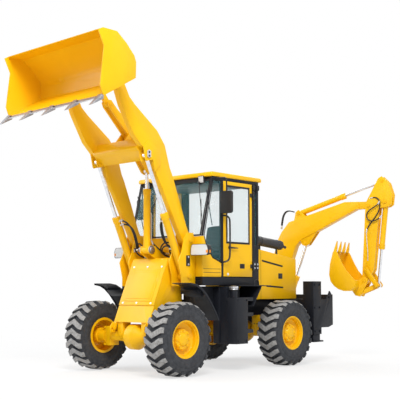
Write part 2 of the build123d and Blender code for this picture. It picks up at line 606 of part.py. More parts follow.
# ---------------------------------------------------------------- backhoe
CARRIAGE_X = (SWING_X - 300, SWING_X + 300)
LUG_UP, LUG_LOW = (1130, 1180), (640, 690)
with BuildPart() as carriage:
    block(CARRIAGE_X, (SHIFT_BACK + 8, SHIFT_BACK + 48), (590, 1205))
    block(CARRIAGE_X, (2335, SHIFT_BACK + 48), (1168, 1205))
    block(CARRIAGE_X, (2240, SHIFT_BACK + 48), (590, 632))
    for low, high in (LUG_UP, LUG_LOW):
        block((SWING_X - 110, SWING_X + 110), (SHIFT_BACK + 48, SWING_Y), (low, high))
        disc(Plane.XY, (SWING_X, SWING_Y), 110, low, high)
    disc(Plane.XY, (SWING_X, SWING_Y), 45, 620, 1200)
finish(carriage, "carriage")

POST_IN, POST_OUT = 100, 125
POST = [(-90, 700), (-90, 1120), (128, 1120), (128, 1200), (75, 1330), (75, 1400), (110, 1440),
        (190, 1440), (235, 1390),
        (320, 1050), (330, 720), (290, 640), (200, 640), (130, 700)]
with BuildPart() as swing_post:
    disc(Plane.XY, (SWING_X, SWING_Y), 100, 698, 1122)
    for side in (-1, 1):
        plate(REACH, POST, side * (POST_IN - 12), side * POST_OUT)
    plate(REACH, [(-90, 720), (-90, 1100), (135, 1100), (135, 720)], -POST_IN, POST_IN)
    disc(Plane.XY, (SWING_X, SWING_Y), 45 + CLEAR, 600, 1300, Mode.SUBTRACT)
    disc(REACH, BOOM_FOOT, PIN, -POST_OUT - 10, POST_OUT + 10)
    disc(REACH, BOOM_RAM_BASE, 28, -POST_OUT - 10, POST_OUT + 10)
finish(swing_post, "swing_post")

BOOM = [(65, 1370), (90, 1900), (155, 2160), (240, 2320), (400, 2513), (675, 2594), (1507, 2840),
        (1961, 2830), (2020, 2790),
        (2026, 2735), (2000, 2700), (1950, 2684), (1880, 2702), (1725, 2700), (978, 2332), (650, 2182),
        (534, 2060), (450, 1826), (330, 1600), (235, 1370),
        (210, 1310), (150, 1285), (90, 1310)]
BOOM_HALF = 84
with BuildPart() as boom:
    plate(REACH, BOOM, -BOOM_HALF, BOOM_HALF)
    plate(REACH, [(1780, 2400), (1780, 3000), (2100, 3000), (2100, 2400)], 55, 200, Mode.SUBTRACT)
    plate(REACH, [(1780, 2400), (1780, 3000), (2100, 3000), (2100, 2400)], -200, -55, Mode.SUBTRACT)
    disc(REACH, BOOM_FOOT, PIN + CLEAR, -100, 100, Mode.SUBTRACT)
    disc(REACH, DIPPER_PIVOT, PIN + CLEAR, -100, 100, Mode.SUBTRACT)
    for side in (-1, 1):
        plate(REACH, [(600, 2200), (660, 2080), (724, 2050), (790, 2080), (950, 2300), (978, 2360)],
              side * 44, side * 68)
        plate(REACH, [(500, 2520), (540, 2700), (594, 2740), (650, 2700), (760, 2600)], side * 58,
              side * 80)
    disc(REACH, DIPPER_RAM_BASE, 28, -86, 86)
finish(boom, "boom")

DIPPER = [(1820, 1380), (1840, 1345), (1900, 1345), (1935, 1400), (2046, 1600), (2161, 2700),
          (2330, 2720), (2385, 2760), (2405, 2935),
          (2340, 3150), (2217, 3275), (2150, 3240), (1985, 2940), (1905, 2800), (1900, 2700)]
DIPPER_FILL = [(1840, 1480), (1902, 2600), (2130, 2600), (2030, 1610), (1930, 1440)]
DIPPER_IN, DIPPER_OUT = 62, 84
with BuildPart() as dipper:
    for side in (-1, 1):
        plate(REACH, DIPPER, side * DIPPER_IN, side * DIPPER_OUT)
    plate(REACH, DIPPER_FILL, -DIPPER_IN, DIPPER_IN)
    disc(REACH, REAR_BUCKET_PIVOT, 60, -DIPPER_OUT, DIPPER_OUT)
    disc(REACH, REAR_BUCKET_PIVOT, 28 + CLEAR, -100, 100, Mode.SUBTRACT)
    disc(REACH, LEVER_PIVOT, 26 + CLEAR, -100, 100, Mode.SUBTRACT)
    disc(REACH, DIPPER_PIVOT, PIN, -DIPPER_OUT - 8, DIPPER_OUT + 8)
    disc(REACH, BUCKET_RAM_BASE, 26, -DIPPER_OUT - 8, DIPPER_OUT + 8)
finish(dipper, "dipper")

BOOM_RAM = dict(plane=REACH, base=BOOM_RAM_BASE, eye=BOOM_LUG, offsets=(0,))
ram_barrel("boom_barrel", length=829, radius=60, rod=30, pin=28, half=64, inner=80, **BOOM_RAM)
ram_rod("boom_rod", inner=710, rod=30, eye_radius=54, half=38, **BOOM_RAM)
DIPPER_RAM = dict(plane=REACH, base=DIPPER_RAM_BASE, eye=DIPPER_EYE, offsets=(0,))
ram_barrel("dipper_barrel", length=952, radius=50, rod=26, pin=28, half=54, inner=80, **DIPPER_RAM)
ram_rod("dipper_rod", inner=800, rod=26, eye_radius=50, half=38, **DIPPER_RAM)
BUCKET_RAM = dict(plane=REACH, base=BUCKET_RAM_BASE, eye=LEVER_END, offsets=(0,))
ram_barrel("bucket_barrel", length=850, radius=48, rod=25, pin=26, half=52, inner=80, **BUCKET_RAM)
ram_rod("bucket_rod", inner=730, rod=25, eye_radius=44, half=36, **BUCKET_RAM)

LEVER_IN, LEVER_OUT = 116, 134
with BuildPart() as tipping_lever:
    for side in (-1, 1):
        plate(REACH, [(1880, 1645), (1940, 1640), (2140, 1330), (2120, 1285), (2070, 1290), (1870, 1590)],
              side * LEVER_IN, side * LEVER_OUT)
        disc(REACH, LEVER_END, 26, side * 42, side * (LEVER_OUT + 6))
    disc(REACH, LEVER_PIVOT, 26, -LEVER_OUT, LEVER_OUT)
finish(tipping_lever, "tipping_lever")

with BuildPart() as tipping_link:
    for side in (-1, 1):
        plate(REACH, [(2110, 1366), (2140, 1320), (2090, 1276), (1790, 1150), (1745, 1160), (1740, 1205),
                      (1770, 1225)],
              side * 50, side * 72)
        disc(REACH, LEVER_END, 26 + CLEAR, side * 40, side * 90, Mode.SUBTRACT)
    disc(REACH, LINK_END, 40, -80, 80)
finish(tipping_link, "tipping_link")

REAR_SHELL = [(1370, 1924), (1310, 1700), (1293, 1512), (1320, 1390), (1389, 1305), (1470, 1250),
              (1569, 1219), (1680, 1222), (1770, 1290),
              (1785, 1400), (1700, 1490), (1610, 1595), (1540, 1720), (1487, 1835), (1440, 1930)]
REAR_T = 14
with BuildPart() as rear_bucket:
    plate(REACH, REAR_SHELL, -REAR_BUCKET_HALF, REAR_BUCKET_HALF)
    with BuildSketch(REACH.offset(-REAR_BUCKET_HALF + REAR_T)):
        with BuildLine():
            Polyline(*REAR_SHELL, close=True)
        make_face()
        offset(amount=-REAR_T, kind=Kind.INTERSECTION)
    extrude(amount=2 * (REAR_BUCKET_HALF - REAR_T), mode=Mode.SUBTRACT)
    plate(REACH, [(1400, 1905), (1480, 1700), (1580, 1500), (1745, 1380), (1830, 1500), (1560, 2000),
                  (1420, 1990)],
          -REAR_BUCKET_HALF + REAR_T, REAR_BUCKET_HALF - REAR_T, Mode.SUBTRACT)
    for side in (-1, 1):
        plate(REACH, [(1640, 1226), (1700, 1140), (1790, 1120), (1930, 1370), (1925, 1450), (1867, 1475),
                      (1790, 1440)],
              side * 90, side * 110)
    disc(REACH, REAR_BUCKET_PIVOT, 28, -116, 116)
    for index in range(4):
        offset_n = -310 + index * 620 / 3
        plate(REACH, [(1372, 1900), (1400, 1990), (1447, 2118), (1440, 1980), (1420, 1900)],
              offset_n - 28, offset_n + 28)
finish(rear_bucket, "rear_bucket")
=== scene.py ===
# %% [markdown]
# # A backhoe loader, dressed in paint, rubber and glass
# The machine's steelwork is already made and hinged in a CAD program, and it loads here as a fixed
# frame: every plate and pin sits at its real place in metres. This lesson keeps those shapes, rounds
# their edges, and adds what a CAD model leaves plain: tread, bolts, lamps, hoses, a trimmed cab.

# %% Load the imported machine
import json
from math import cos, pi, radians, sin, tau

import bmesh
import bpy
from mathutils import Matrix, Vector


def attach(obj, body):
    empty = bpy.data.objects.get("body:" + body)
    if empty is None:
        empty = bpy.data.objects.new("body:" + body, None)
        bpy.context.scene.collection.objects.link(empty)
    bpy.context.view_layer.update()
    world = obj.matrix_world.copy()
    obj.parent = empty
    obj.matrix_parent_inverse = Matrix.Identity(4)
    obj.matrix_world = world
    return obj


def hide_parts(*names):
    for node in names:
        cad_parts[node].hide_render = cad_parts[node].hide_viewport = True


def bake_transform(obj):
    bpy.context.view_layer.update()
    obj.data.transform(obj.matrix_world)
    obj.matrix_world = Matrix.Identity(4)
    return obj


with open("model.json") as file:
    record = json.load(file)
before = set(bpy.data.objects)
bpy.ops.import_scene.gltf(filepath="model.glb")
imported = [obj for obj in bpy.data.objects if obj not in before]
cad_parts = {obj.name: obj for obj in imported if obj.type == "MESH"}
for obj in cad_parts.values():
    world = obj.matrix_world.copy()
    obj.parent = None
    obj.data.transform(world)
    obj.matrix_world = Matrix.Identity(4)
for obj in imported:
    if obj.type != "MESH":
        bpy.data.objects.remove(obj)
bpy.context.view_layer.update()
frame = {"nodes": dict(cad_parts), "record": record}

NODES = frame["nodes"]
BODIES = frame["record"]["behaviour"]["bodies"]
BODY_OF = {node: body for body, nodes in BODIES.items() for node in nodes}
SLOT_OF = {row["node"]: row["material_slot"] for row in frame["record"]["subparts"]}
SIDES = ((1, "left"), (-1, "right"))
ORIGIN = Vector((0, 0, 0))
LEFT, BACK, UP = Vector((1, 0, 0)), Vector((0, 1, 0)), Vector((0, 0, 1))

# %% [markdown]
# ## Finishes
# Paint on a new machine is never one flat colour. It has a faint unevenness where the sprayer
# overlapped and a fine orange-peel skin that breaks up reflections. Both come from noise read from
# Object coordinates, so the pattern sticks to the piece when a joint moves it.


# %% Nodes with their inputs set
def feed(tree, node, values):
    """Sets a node's inputs, by name or number, to a value or to what another node gives."""
    for key, value in values.items():
        if isinstance(value, bpy.types.NodeSocket):
            tree.links.new(value, node.inputs[key])
        else:
            node.inputs[key].default_value = value


def wired(tree, kind, values, operation=None):
    """A new node of a kind with its inputs set."""
    node = tree.nodes.new(kind)
    if operation:
        node.operation = operation
    feed(tree, node, values)
    return node


# %% A blank finish, and the noise every finish reads
def blank_finish(name):
    """A new material with its node tree and its surface shader."""
    material = bpy.data.materials.new(name)
    material.use_nodes = True
    return material, material.node_tree, material.node_tree.nodes["Principled BSDF"]


def grain(tree, size, detail=3.0, roughness=0.5):
    """Noise whose lumps are about size metres across."""
    place = tree.nodes.new("ShaderNodeTexCoord").outputs["Object"]
    values = {"Vector": place, "Scale": 1.0 / size, "Detail": detail, "Roughness": roughness}
    return wired(tree, "ShaderNodeTexNoise", values).outputs["Fac"]


def ramp(tree, value, stops):
    """A colour ramp on value, from (position, colour) stops."""
    node = wired(tree, "ShaderNodeValToRGB", {"Fac": value})
    elements = node.color_ramp.elements
    for index in (0, -1):
        elements[index].position = stops[index][0]
        elements[index].color = (*stops[index][1], 1)
    for position, colour in stops[1:-1]:
        elements.new(position).color = (*colour, 1)
    return node.outputs["Color"]


def spread(tree, value, low, high, start=0.0, end=1.0):
    """Value, which runs from start to end, as a number from low to high."""
    values = {"Value": value, "From Min": start, "From Max": end, "To Min": low, "To Max": high}
    return wired(tree, "ShaderNodeMapRange", values).outputs["Result"]


def skin(tree, shader, size, depth):
    """Fine bumps, size metres across and depth metres deep."""
    values = {"Strength": 1.0, "Distance": depth, "Height": grain(tree, size, 2.0)}
    feed(tree, shader, {"Normal": wired(tree, "ShaderNodeBump", values).outputs["Normal"]})


# %% Paint: a sprayed coat over steel
def sprayed(name, light, dark, gloss, coat):
    """Sprayed paint between two near tones, with an orange-peel skin."""
    material, tree, shader = blank_finish(name)
    tone = ramp(tree, grain(tree, 0.45, 4.0, 0.6), [(0.3, dark), (0.7, light)])
    rough = spread(tree, grain(tree, 0.06), gloss - 0.05, gloss + 0.09)
    feed(tree, shader, {"Base Color": tone, "Roughness": rough, "Coat Weight": coat,
                        "Coat Roughness": 0.12, "Specular IOR Level": 0.22})
    skin(tree, shader, 0.006, 0.0004)
    return material


AMBER_PAINT = sprayed("amber_paint", (0.92, 0.515, 0.003), (0.87, 0.470, 0.002), 0.36, 0.12)
CHARCOAL_PAINT = sprayed("charcoal_paint", (0.012, 0.014, 0.020), (0.007, 0.008, 0.012), 0.45, 0.04)
print("paints:", AMBER_PAINT.name, CHARCOAL_PAINT.name)

# %% [markdown]
# Rubber, cast and moulded finishes differ mostly in how rough they are and in how coarse their
# grain is. Plated and bare metal differ in how evenly they are polished.


# %% Rubber, plastics and castings
def moulded(name, light, dark, rough, size, depth):
    """A matt surface with mottled tone and a grain."""
    material, tree, shader = blank_finish(name)
    tone = ramp(tree, grain(tree, size * 6, 4.0, 0.65), [(0.32, dark), (0.68, light)])
    feed(tree, shader, {"Base Color": tone, "Roughness": rough, "Specular IOR Level": 0.4})
    skin(tree, shader, size, depth)
    return material


SIDEWALL = moulded("sidewall_rubber", (0.036, 0.037, 0.042), (0.020, 0.021, 0.025), 0.72, 0.008, 0.0006)
HOSE_RUBBER = moulded("hose_rubber", (0.022, 0.022, 0.024), (0.012, 0.012, 0.014), 0.5, 0.003, 0.0003)
BLACK_PLASTIC = moulded("black_plastic", (0.020, 0.020, 0.023), (0.012, 0.012, 0.014), 0.45, 0.002, 0.0002)
WINDOW_RUBBER = moulded("window_rubber", (0.016, 0.016, 0.017), (0.010, 0.010, 0.011), 0.65, 0.003, 0.0002)
CAST_IRON = moulded("cast_iron", (0.045, 0.046, 0.053), (0.025, 0.026, 0.030), 0.6, 0.005, 0.0008)
SEAT_VINYL = moulded("seat_vinyl", (0.030, 0.030, 0.033), (0.018, 0.018, 0.020), 0.5, 0.004, 0.0006)
WHITE_PLASTIC = moulded("white_plastic", (0.82, 0.82, 0.82), (0.74, 0.74, 0.75), 0.4, 0.003, 0.0002)


# %% Bare and plated metal
def plated(name, colour, rough, wear, size=0.03):
    """Metal whose roughness goes up by wear across patches of the given size."""
    material, tree, shader = blank_finish(name)
    dark = tuple(c * 0.86 for c in colour)
    tone = ramp(tree, grain(tree, size * 2), [(0.35, dark), (0.65, colour)])
    polish = spread(tree, grain(tree, size), rough, rough + wear)
    feed(tree, shader, {"Base Color": tone, "Metallic": 1.0, "Roughness": polish})
    return material


ROD_CHROME = plated("rod_chrome", (0.86, 0.87, 0.90), 0.08, 0.14)
ZINC = plated("zinc_plate", (0.72, 0.73, 0.76), 0.25, 0.2, 0.01)
WORN_STEEL = plated("worn_steel", (0.42, 0.42, 0.44), 0.34, 0.3, 0.02)
REFLECTOR = plated("bright_reflector", (0.92, 0.93, 0.95), 0.1, 0.1, 0.02)


# %% Glass and lenses
def clear_pane(name, colour, alpha, rough=0.02):
    """Tinted glass that shows what is behind it and keeps its reflections."""
    material, tree, shader = blank_finish(name)
    dark = tuple(c * 0.94 for c in colour)
    film = ramp(tree, grain(tree, 0.3), [(0.3, dark), (0.7, colour)])
    feed(tree, shader, {"Base Color": film, "Roughness": rough, "IOR": 1.5, "Alpha": alpha})
    material.surface_render_method = "BLENDED"
    return material


CAB_GLASS = clear_pane("cab_glass_tint", (0.15, 0.48, 0.53), 0.075)
LAMP_GLASS = clear_pane("lamp_glass", (0.92, 0.95, 0.97), 0.55, 0.06)
AMBER_LENS = clear_pane("amber_lens", (0.95, 0.32, 0.02), 0.9, 0.12)
RED_LENS = clear_pane("red_lens", (0.75, 0.03, 0.02), 0.9, 0.12)
print(len(bpy.data.materials), "finishes")

# %% Finishes for each slot of the record, and the fittings that the chassis carries
FINISH_OF = {
    "paint_yellow": AMBER_PAINT, "paint_charcoal": CHARCOAL_PAINT, "tyre_rubber": SIDEWALL,
    "glass": CAB_GLASS, "rod_chrome": ROD_CHROME, "worn_steel": WORN_STEEL,
    "black_plastic": BLACK_PLASTIC, "seat_vinyl": SEAT_VINYL, "engine_iron": CAST_IRON,
}
BLACK_FITTING = (BLACK_PLASTIC, "chassis", "black_plastic")
RUBBER_FITTING = (WINDOW_RUBBER, "chassis", "black_plastic")
IRON_FITTING = (CAST_IRON, "chassis", "paint_charcoal")
YELLOW_FITTING = (AMBER_PAINT, "chassis", "paint_yellow")
CHARCOAL_FITTING = (CHARCOAL_PAINT, "chassis", "paint_charcoal")
BRIGHT_FITTING = (ZINC, "chassis", "rod_chrome")

# %% [markdown]
# ## Tools for making pieces
# Most fittings on a machine are either cut from plate or turned on a lathe, so two helpers cover
# nearly all of them. A third closes each piece: it welds the mesh, rounds its edges and hangs it on
# the body that carries it.


# %% Points on the machine's two sides
def on_side(side, points):
    """Points of the left side, or the same points mirrored to the right."""
    return [(side * x, y, z) for x, y, z in points]


def at_side(x, points):
    """Points (y, z) on a plane square to X."""
    return [Vector((x, y, z)) for y, z in points]


# %% Plate, turned and boxed shapes
def slab(shape, outline, way):
    """A plate: the outline pushed along way."""
    near = [shape.verts.new(p) for p in outline]
    far = [shape.verts.new(p + way) for p in outline]
    shape.faces.new(near[::-1])
    shape.faces.new(far)
    for i, corner in enumerate(near):
        j = (i + 1) % len(near)
        shape.faces.new((corner, near[j], far[j], far[i]))


def square_to(way):
    """Two unit vectors square to way and to each other."""
    way = way.normalized()
    helper = UP if abs(way.z) < 0.9 else BACK
    across = way.cross(helper).normalized()
    return across, way.cross(across).normalized()


def turned(shape, start, way, profile, steps=28):
    """A lathe shape round the line from start along way, from (distance along, radius) pairs."""
    way = way.normalized()
    u, v = square_to(way)
    rings = []
    for along, radius in profile:
        middle = start + way * along
        if radius <= 0:
            rings.append([shape.verts.new(middle)])
            continue
        ring = [middle + (u * cos(tau * k / steps) + v * sin(tau * k / steps)) * radius for k in range(steps)]
        rings.append([shape.verts.new(p) for p in ring])
    for low, high in zip(rings, rings[1:]):
        for k in range(steps):
            j = (k + 1) % steps
            corners = [low[k % len(low)], low[j % len(low)], high[j % len(high)], high[k % len(high)]]
            unique = list(dict.fromkeys(corners))
            if len(unique) > 2:
                shape.faces.new(unique)
    for ring, flip in ((rings[0], True), (rings[-1], False)):
        if len(ring) > 2:
            shape.faces.new(ring[::-1] if flip else ring)


def boxed(shape, low, high):
    """A box between two corners."""
    (x0, y0, z0), (x1, y1, z1) = low, high
    outline = [Vector((x0, y0, z0)), Vector((x1, y0, z0)), Vector((x1, y1, z0)), Vector((x0, y1, z0))]
    slab(shape, outline, UP * (z1 - z0))


# %% From a shape to an object in the scene
def meshed(name, shape):
    """The shape as a mesh, with its faces looking outwards."""
    bmesh.ops.recalc_face_normals(shape, faces=shape.faces)
    mesh = bpy.data.meshes.new(name)
    shape.to_mesh(mesh)
    shape.free()
    return mesh


def placed(name, data):
    """A new object in the scene."""
    item = bpy.data.objects.new(name, data)
    bpy.context.scene.collection.objects.link(item)
    return item


def applied(item):
    """The item with its modifiers turned into plain mesh."""
    mesh = bpy.data.meshes.new_from_object(item.evaluated_get(bpy.context.evaluated_depsgraph_get()))
    item.modifiers.clear()
    item.data = mesh
    return item


# %% Shading, rounding and closing a piece
def smooth(mesh, angle=38):
    """Smooth shading that stays crisp across corners sharper than angle."""
    mesh.polygons.foreach_set("use_smooth", [True] * len(mesh.polygons))
    mesh.set_sharp_from_angle(angle=radians(angle))


def rounded(item, width, segments=2):
    """The item with its sharp edges rounded to width metres."""
    edge = item.modifiers.new("rounding", "BEVEL")
    edge.width = width
    edge.segments = segments
    edge.limit_method = "ANGLE"
    edge.angle_limit = radians(30)
    return applied(item)


def settle(item, body, finish=None):
    """Gives the item its finish and the body it rides on."""
    if finish:
        item.data.materials.clear()
        item.data.materials.append(finish)
    smooth(item.data)
    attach(item, body)
    return item


def made(name, shape, finish, body, slot, edge=0.0, segments=2):
    """A finished piece from a bmesh."""
    bmesh.ops.remove_doubles(shape, verts=shape.verts, dist=1e-5)
    item = placed(name, meshed(name, shape))
    if edge:
        rounded(item, edge, segments)
    return settle(item, body, finish)


# %% Pieces of one shape
def plate(name, outline, way, finish, body, slot, edge=0.0, segments=2):
    """A piece cut from plate."""
    shape = bmesh.new()
    slab(shape, outline, way)
    return made(name, shape, finish, body, slot, edge, segments)


def lathed(name, start, way, profile, steps, finish, body, slot):
    """A piece turned on a lathe."""
    shape = bmesh.new()
    turned(shape, start, way, profile, steps)
    return made(name, shape, finish, body, slot)


def housing(name, side, low, high, finish, body, slot, edge, segments=4):
    """A box with strongly rounded edges, between two corners given for the left side."""
    shape = bmesh.new()
    x0, x1 = sorted((side * low[0], side * high[0]))
    boxed(shape, (x0, *low[1:]), (x1, *high[1:]))
    return made(name, shape, finish, body, slot, edge, segments)


# %% [markdown]
# ## Steelwork with real edges
# Cut and welded plate never ends in a knife edge: it is ground, then the paint rounds it further,
# and that thin bright line is what makes steel look thick. Each CAD node is copied, its triangles
# are merged back into flat faces, and a bevel of a few millimetres catches the light.


# %% Copy a CAD node with rounded edges
def eased(node, width):
    """A copy of a CAD node with its edges rounded, which stands for the node."""
    item = placed(node + "_steel", NODES[node].data.copy())
    shape = bmesh.new()
    shape.from_mesh(item.data)
    bmesh.ops.remove_doubles(shape, verts=shape.verts, dist=2e-5)
    bmesh.ops.dissolve_limit(shape, angle_limit=radians(0.6), verts=shape.verts, edges=shape.edges)
    shape.to_mesh(item.data)
    shape.free()
    rounded(item, width)
    settle(item, BODY_OF[node], FINISH_OF[SLOT_OF[node]])
    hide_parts(node)


# %% How wide each node's edges are rounded, in metres
EASED = {
    "front_frame": 0.005, "rear_frame": 0.005, "front_axle": 0.008, "rear_axle": 0.008,
    "knuckle_left": 0.006, "knuckle_right": 0.006, "hood": 0.022, "cab_frame": 0.005,
    "cab_roof": 0.018, "cab_cowl": 0.010, "side_tanks": 0.008, "fenders": 0.003,
    "door_left": 0.004, "door_right": 0.004, "loader_arm": 0.006, "lift_barrels": 0.003,
    "tilt_barrel": 0.003, "rocker": 0.005, "bucket_link": 0.004, "front_bucket": 0.004,
    "bucket_teeth": 0.003, "carriage": 0.005, "swing_post": 0.005, "boom": 0.008,
    "boom_barrel": 0.003, "dipper": 0.005, "dipper_barrel": 0.003, "rear_bucket": 0.004,
    "bucket_barrel": 0.003, "tipping_lever": 0.004, "tipping_link": 0.004,
    "stabilizer_left": 0.005, "stabilizer_right": 0.005, "tilt_pin": 0.004, "rocker_pin": 0.004,
    "link_pin": 0.003, "bucket_pins": 0.004,
}
for node, width in EASED.items():
    eased(node, width)
for node, item in NODES.items():
    if not item.hide_render:
        item.data.materials.clear()
        item.data.materials.append(FINISH_OF[SLOT_OF[node]])
print(len(EASED), "nodes have rounded edges")

# %% [markdown]
# ## Copies that repeat
# A tyre has one lug, twenty-two times; a hub has one nut, eight times. Geometry Nodes keep that rule
# in one place: draw the shape once, say how many, and the tree turns the copies round the axle. The
# tree ends by making the copies real, because an exported mesh can't hold instances.


# %% How each tree starts and ends
def new_tree(name, inputs):
    """A Geometry Nodes tree with a geometry in and out, and further named inputs."""
    tree = bpy.data.node_groups.new(name, "GeometryNodeTree")
    tree.interface.new_socket("Geometry", in_out="INPUT", socket_type="NodeSocketGeometry")
    for label, kind in inputs:
        tree.interface.new_socket(label, in_out="INPUT", socket_type="NodeSocket" + kind)
    tree.interface.new_socket("Geometry", in_out="OUTPUT", socket_type="NodeSocketGeometry")
    return tree, tree.nodes.new("NodeGroupInput").outputs


def close_tree(tree, entry, result):
    """The tree, ended by real copies that have their finish."""
    real = wired(tree, "GeometryNodeRealizeInstances", {0: result}).outputs[0]
    finish = wired(tree, "GeometryNodeSetMaterial", {"Geometry": real, "Material": entry["Finish"]})
    wired(tree, "NodeGroupOutput", {0: finish.outputs[0]})
    return tree


# %% A tree of copies turned round an axle
def ring_tree():
    """Copies of Shape turned about the X axis, joined to the incoming mesh."""
    inputs = (("Shape", "Object"), ("Count", "Int"), ("Finish", "Material"))
    tree, entry = new_tree("ring_of_copies", inputs)
    source = wired(tree, "GeometryNodeObjectInfo", {"Object": entry["Shape"]})
    line = wired(tree, "GeometryNodeMeshLine", {"Count": entry["Count"], "Offset": (0, 0, 0)})
    index = tree.nodes.new("GeometryNodeInputIndex")
    share = wired(tree, "ShaderNodeMath", {0: index.outputs[0], 1: entry["Count"]}, "DIVIDE")
    angle = wired(tree, "ShaderNodeMath", {0: share.outputs[0], 1: tau}, "MULTIPLY")
    turn = wired(tree, "ShaderNodeCombineXYZ", {"X": angle.outputs[0]})
    copies = wired(tree, "GeometryNodeInstanceOnPoints", {
        "Points": line.outputs[0], "Instance": source.outputs["Geometry"], "Rotation": turn.outputs[0]})
    together = tree.nodes.new("GeometryNodeJoinGeometry")
    for part in (copies.outputs[0], entry["Geometry"]):
        tree.links.new(part, together.inputs[0])
    return close_tree(tree, entry, together.outputs[0])


# %% A tree of copies standing at points
def point_tree():
    """A copy of Shape at each incoming vertex, all turned by Turn."""
    inputs = (("Shape", "Object"), ("Turn", "Vector"), ("Finish", "Material"))
    tree, entry = new_tree("copies_at_points", inputs)
    source = wired(tree, "GeometryNodeObjectInfo", {"Object": entry["Shape"]})
    points = wired(tree, "GeometryNodeMeshToPoints", {0: entry["Geometry"]})
    copies = wired(tree, "GeometryNodeInstanceOnPoints", {
        "Points": points.outputs[0], "Instance": source.outputs["Geometry"], "Rotation": entry["Turn"]})
    return close_tree(tree, entry, copies.outputs[0])


RING, POINTS = ring_tree(), point_tree()
print("trees:", RING.name, POINTS.name)


# %% Growing a tree into a plain mesh
def pattern(name, shape):
    """A hidden object that a tree copies."""
    return bpy.data.objects.new(name, meshed(name, shape))


def grown(name, mesh, tree, values):
    """The object that a tree makes from a mesh and its input values, as plain mesh."""
    item = placed(name, mesh)
    growth = item.modifiers.new("growth", "NODES")
    growth.node_group = tree
    for socket in tree.interface.items_tree:
        if socket.in_out == "INPUT" and socket.name in values:
            growth[socket.identifier] = values[socket.name]
    return applied(item)


# %% Bolt heads
def bolt_pattern(radius, height):
    """A hexagon head with a chamfer on a washer, standing along Z."""
    shape = bmesh.new()
    washer = height * 0.22
    turned(shape, ORIGIN, UP, [(0, radius * 1.45), (washer, radius * 1.45)], 16)
    head = [(washer, radius * 1.1), (height * 0.85, radius * 1.1), (height, radius * 0.9), (height, 0)]
    turned(shape, ORIGIN, UP, head, 6)
    return pattern("bolt_pattern", shape)


BOLT = bolt_pattern(0.011, 0.010)
BIG_BOLT = bolt_pattern(0.017, 0.016)


def bolts(name, places, way, finish, body, slot, shape=BOLT):
    """Bolt heads, or another pattern, at places, all standing along way."""
    mesh = bpy.data.meshes.new(name)
    mesh.from_pydata([tuple(p) for p in places], [], [])
    turn = tuple(Vector(way).to_track_quat("Z", "X").to_euler())
    item = grown(name, mesh, POINTS, {"Shape": shape, "Turn": turn, "Finish": finish})
    settle(item, body)


print("a bolt head has", len(BOLT.data.polygons), "faces")

# %% [markdown]
# ## Wheels
# An industrial tyre carries deep chevron lugs that bite in mud, their points leading at the top of
# the wheel. The carcass is a lathe shape; one lug is drawn in plan, crowned across the tread and
# tapered to its root, then turned into a ring. A vertex attribute marks the lug faces, which are
# painted pale: partly dusting where rubber meets the ground, partly a painted sheen of the sky.


# %% Tyre finish with lug faces pale from dusting and painted sheen
def tyre_finish():
    """Near-black rubber whose lug faces are dusted pale and carry a painted sheen."""
    material, tree, shader = blank_finish("dust_and_sheen_tyre_rubber")
    clean = ramp(tree, grain(tree, 0.05), [(0.3, (0.030, 0.032, 0.037)), (0.7, (0.052, 0.055, 0.062))])
    # The pale tone of the lug faces is partly dusting and partly a painted sheen of the sky.
    pale_dust_and_sheen = ramp(tree, grain(tree, 0.035, 5.0, 0.7),
                 [(0.30, (0.17, 0.165, 0.16)), (0.5, (0.30, 0.295, 0.29)), (0.72, (0.42, 0.42, 0.42))])
    dust_and_sheen = tree.nodes.new("ShaderNodeAttribute")
    dust_and_sheen.attribute_name = "dust_and_sheen"
    mix = tree.nodes.new("ShaderNodeMix")
    mix.data_type = "RGBA"
    feed(tree, mix, {"Factor": dust_and_sheen.outputs["Fac"], 6: clean, 7: pale_dust_and_sheen})
    feed(tree, shader, {"Base Color": mix.outputs[2], "Roughness": 0.78, "Specular IOR Level": 0.35})
    skin(tree, shader, 0.006, 0.0007)
    return material


TYRE_FINISH = tyre_finish()
print(TYRE_FINISH.name, "has", len(TYRE_FINISH.node_tree.nodes), "nodes")

# %% One lug
TYRE_R, TREAD_R, SEAT_R = 0.5375, 0.4975, 0.262
LUG_PLAN = [(0, -0.046), (0.150, 0.034), (0.190, 0.040), (0.190, 0.116), (0.142, 0.116), (0, 0.040)]
LUG_MIDDLE, LUG_FLARE, LUG_REACH = Vector((0, 0.04)), 0.011, 0.191
LUG_COUNT = 22


def crown(x):
    """Height of the tread over the axle, x metres from its middle."""
    return TYRE_R - 0.0015 - 0.9 * max(abs(x) - 0.02, 0) ** 2 - 18 * max(abs(x) - 0.14, 0) ** 2 * 0.35


def lug_pattern():
    """One chevron lug at the top of the wheel: narrow at its face, wide at its root."""
    shape = bmesh.new()
    mark = shape.verts.layers.float.new("dust_and_sheen")
    plan = LUG_PLAN + [(-x, y) for x, y in reversed(LUG_PLAN[1:-1])]
    face, root = [], []
    for x, y in plan:
        flat = Vector((x, y))
        out = flat + (flat - LUG_MIDDLE).normalized() * LUG_FLARE
        foot = 0.452 if abs(x) > 0.16 else 0.478
        face.append(shape.verts.new((x, y, crown(x))))
        root.append(shape.verts.new((max(-LUG_REACH, min(LUG_REACH, out.x)), out.y, foot)))
    for corners in ((0, 1, 4, 5), (1, 2, 3, 4), (0, 5, 6, 9), (9, 6, 7, 8)):
        shape.faces.new([face[k] for k in corners])
    for i in range(len(plan)):
        j = (i + 1) % len(plan)
        shape.faces.new((face[i], root[i], root[j], face[j]))
    bmesh.ops.recalc_face_normals(shape, faces=shape.faces)
    rims = [e for e in shape.edges if e.verts[0] in face and e.verts[1] in face and len(e.link_faces) == 2
            and e.calc_face_angle(0) > 0.6]
    bmesh.ops.bevel(shape, geom=rims, offset=0.005, segments=2, affect="EDGES", profile=0.6)
    # The outer faces of the lugs get the pale tone: dusting and painted sheen.
    for vert in shape.verts:
        vert[mark] = 1.0 if vert.co.z > crown(vert.co.x) - 0.004 else 0.0
    return pattern("lug_pattern", shape)


LUG = lug_pattern()
print("a lug has", len(LUG.data.polygons), "faces")

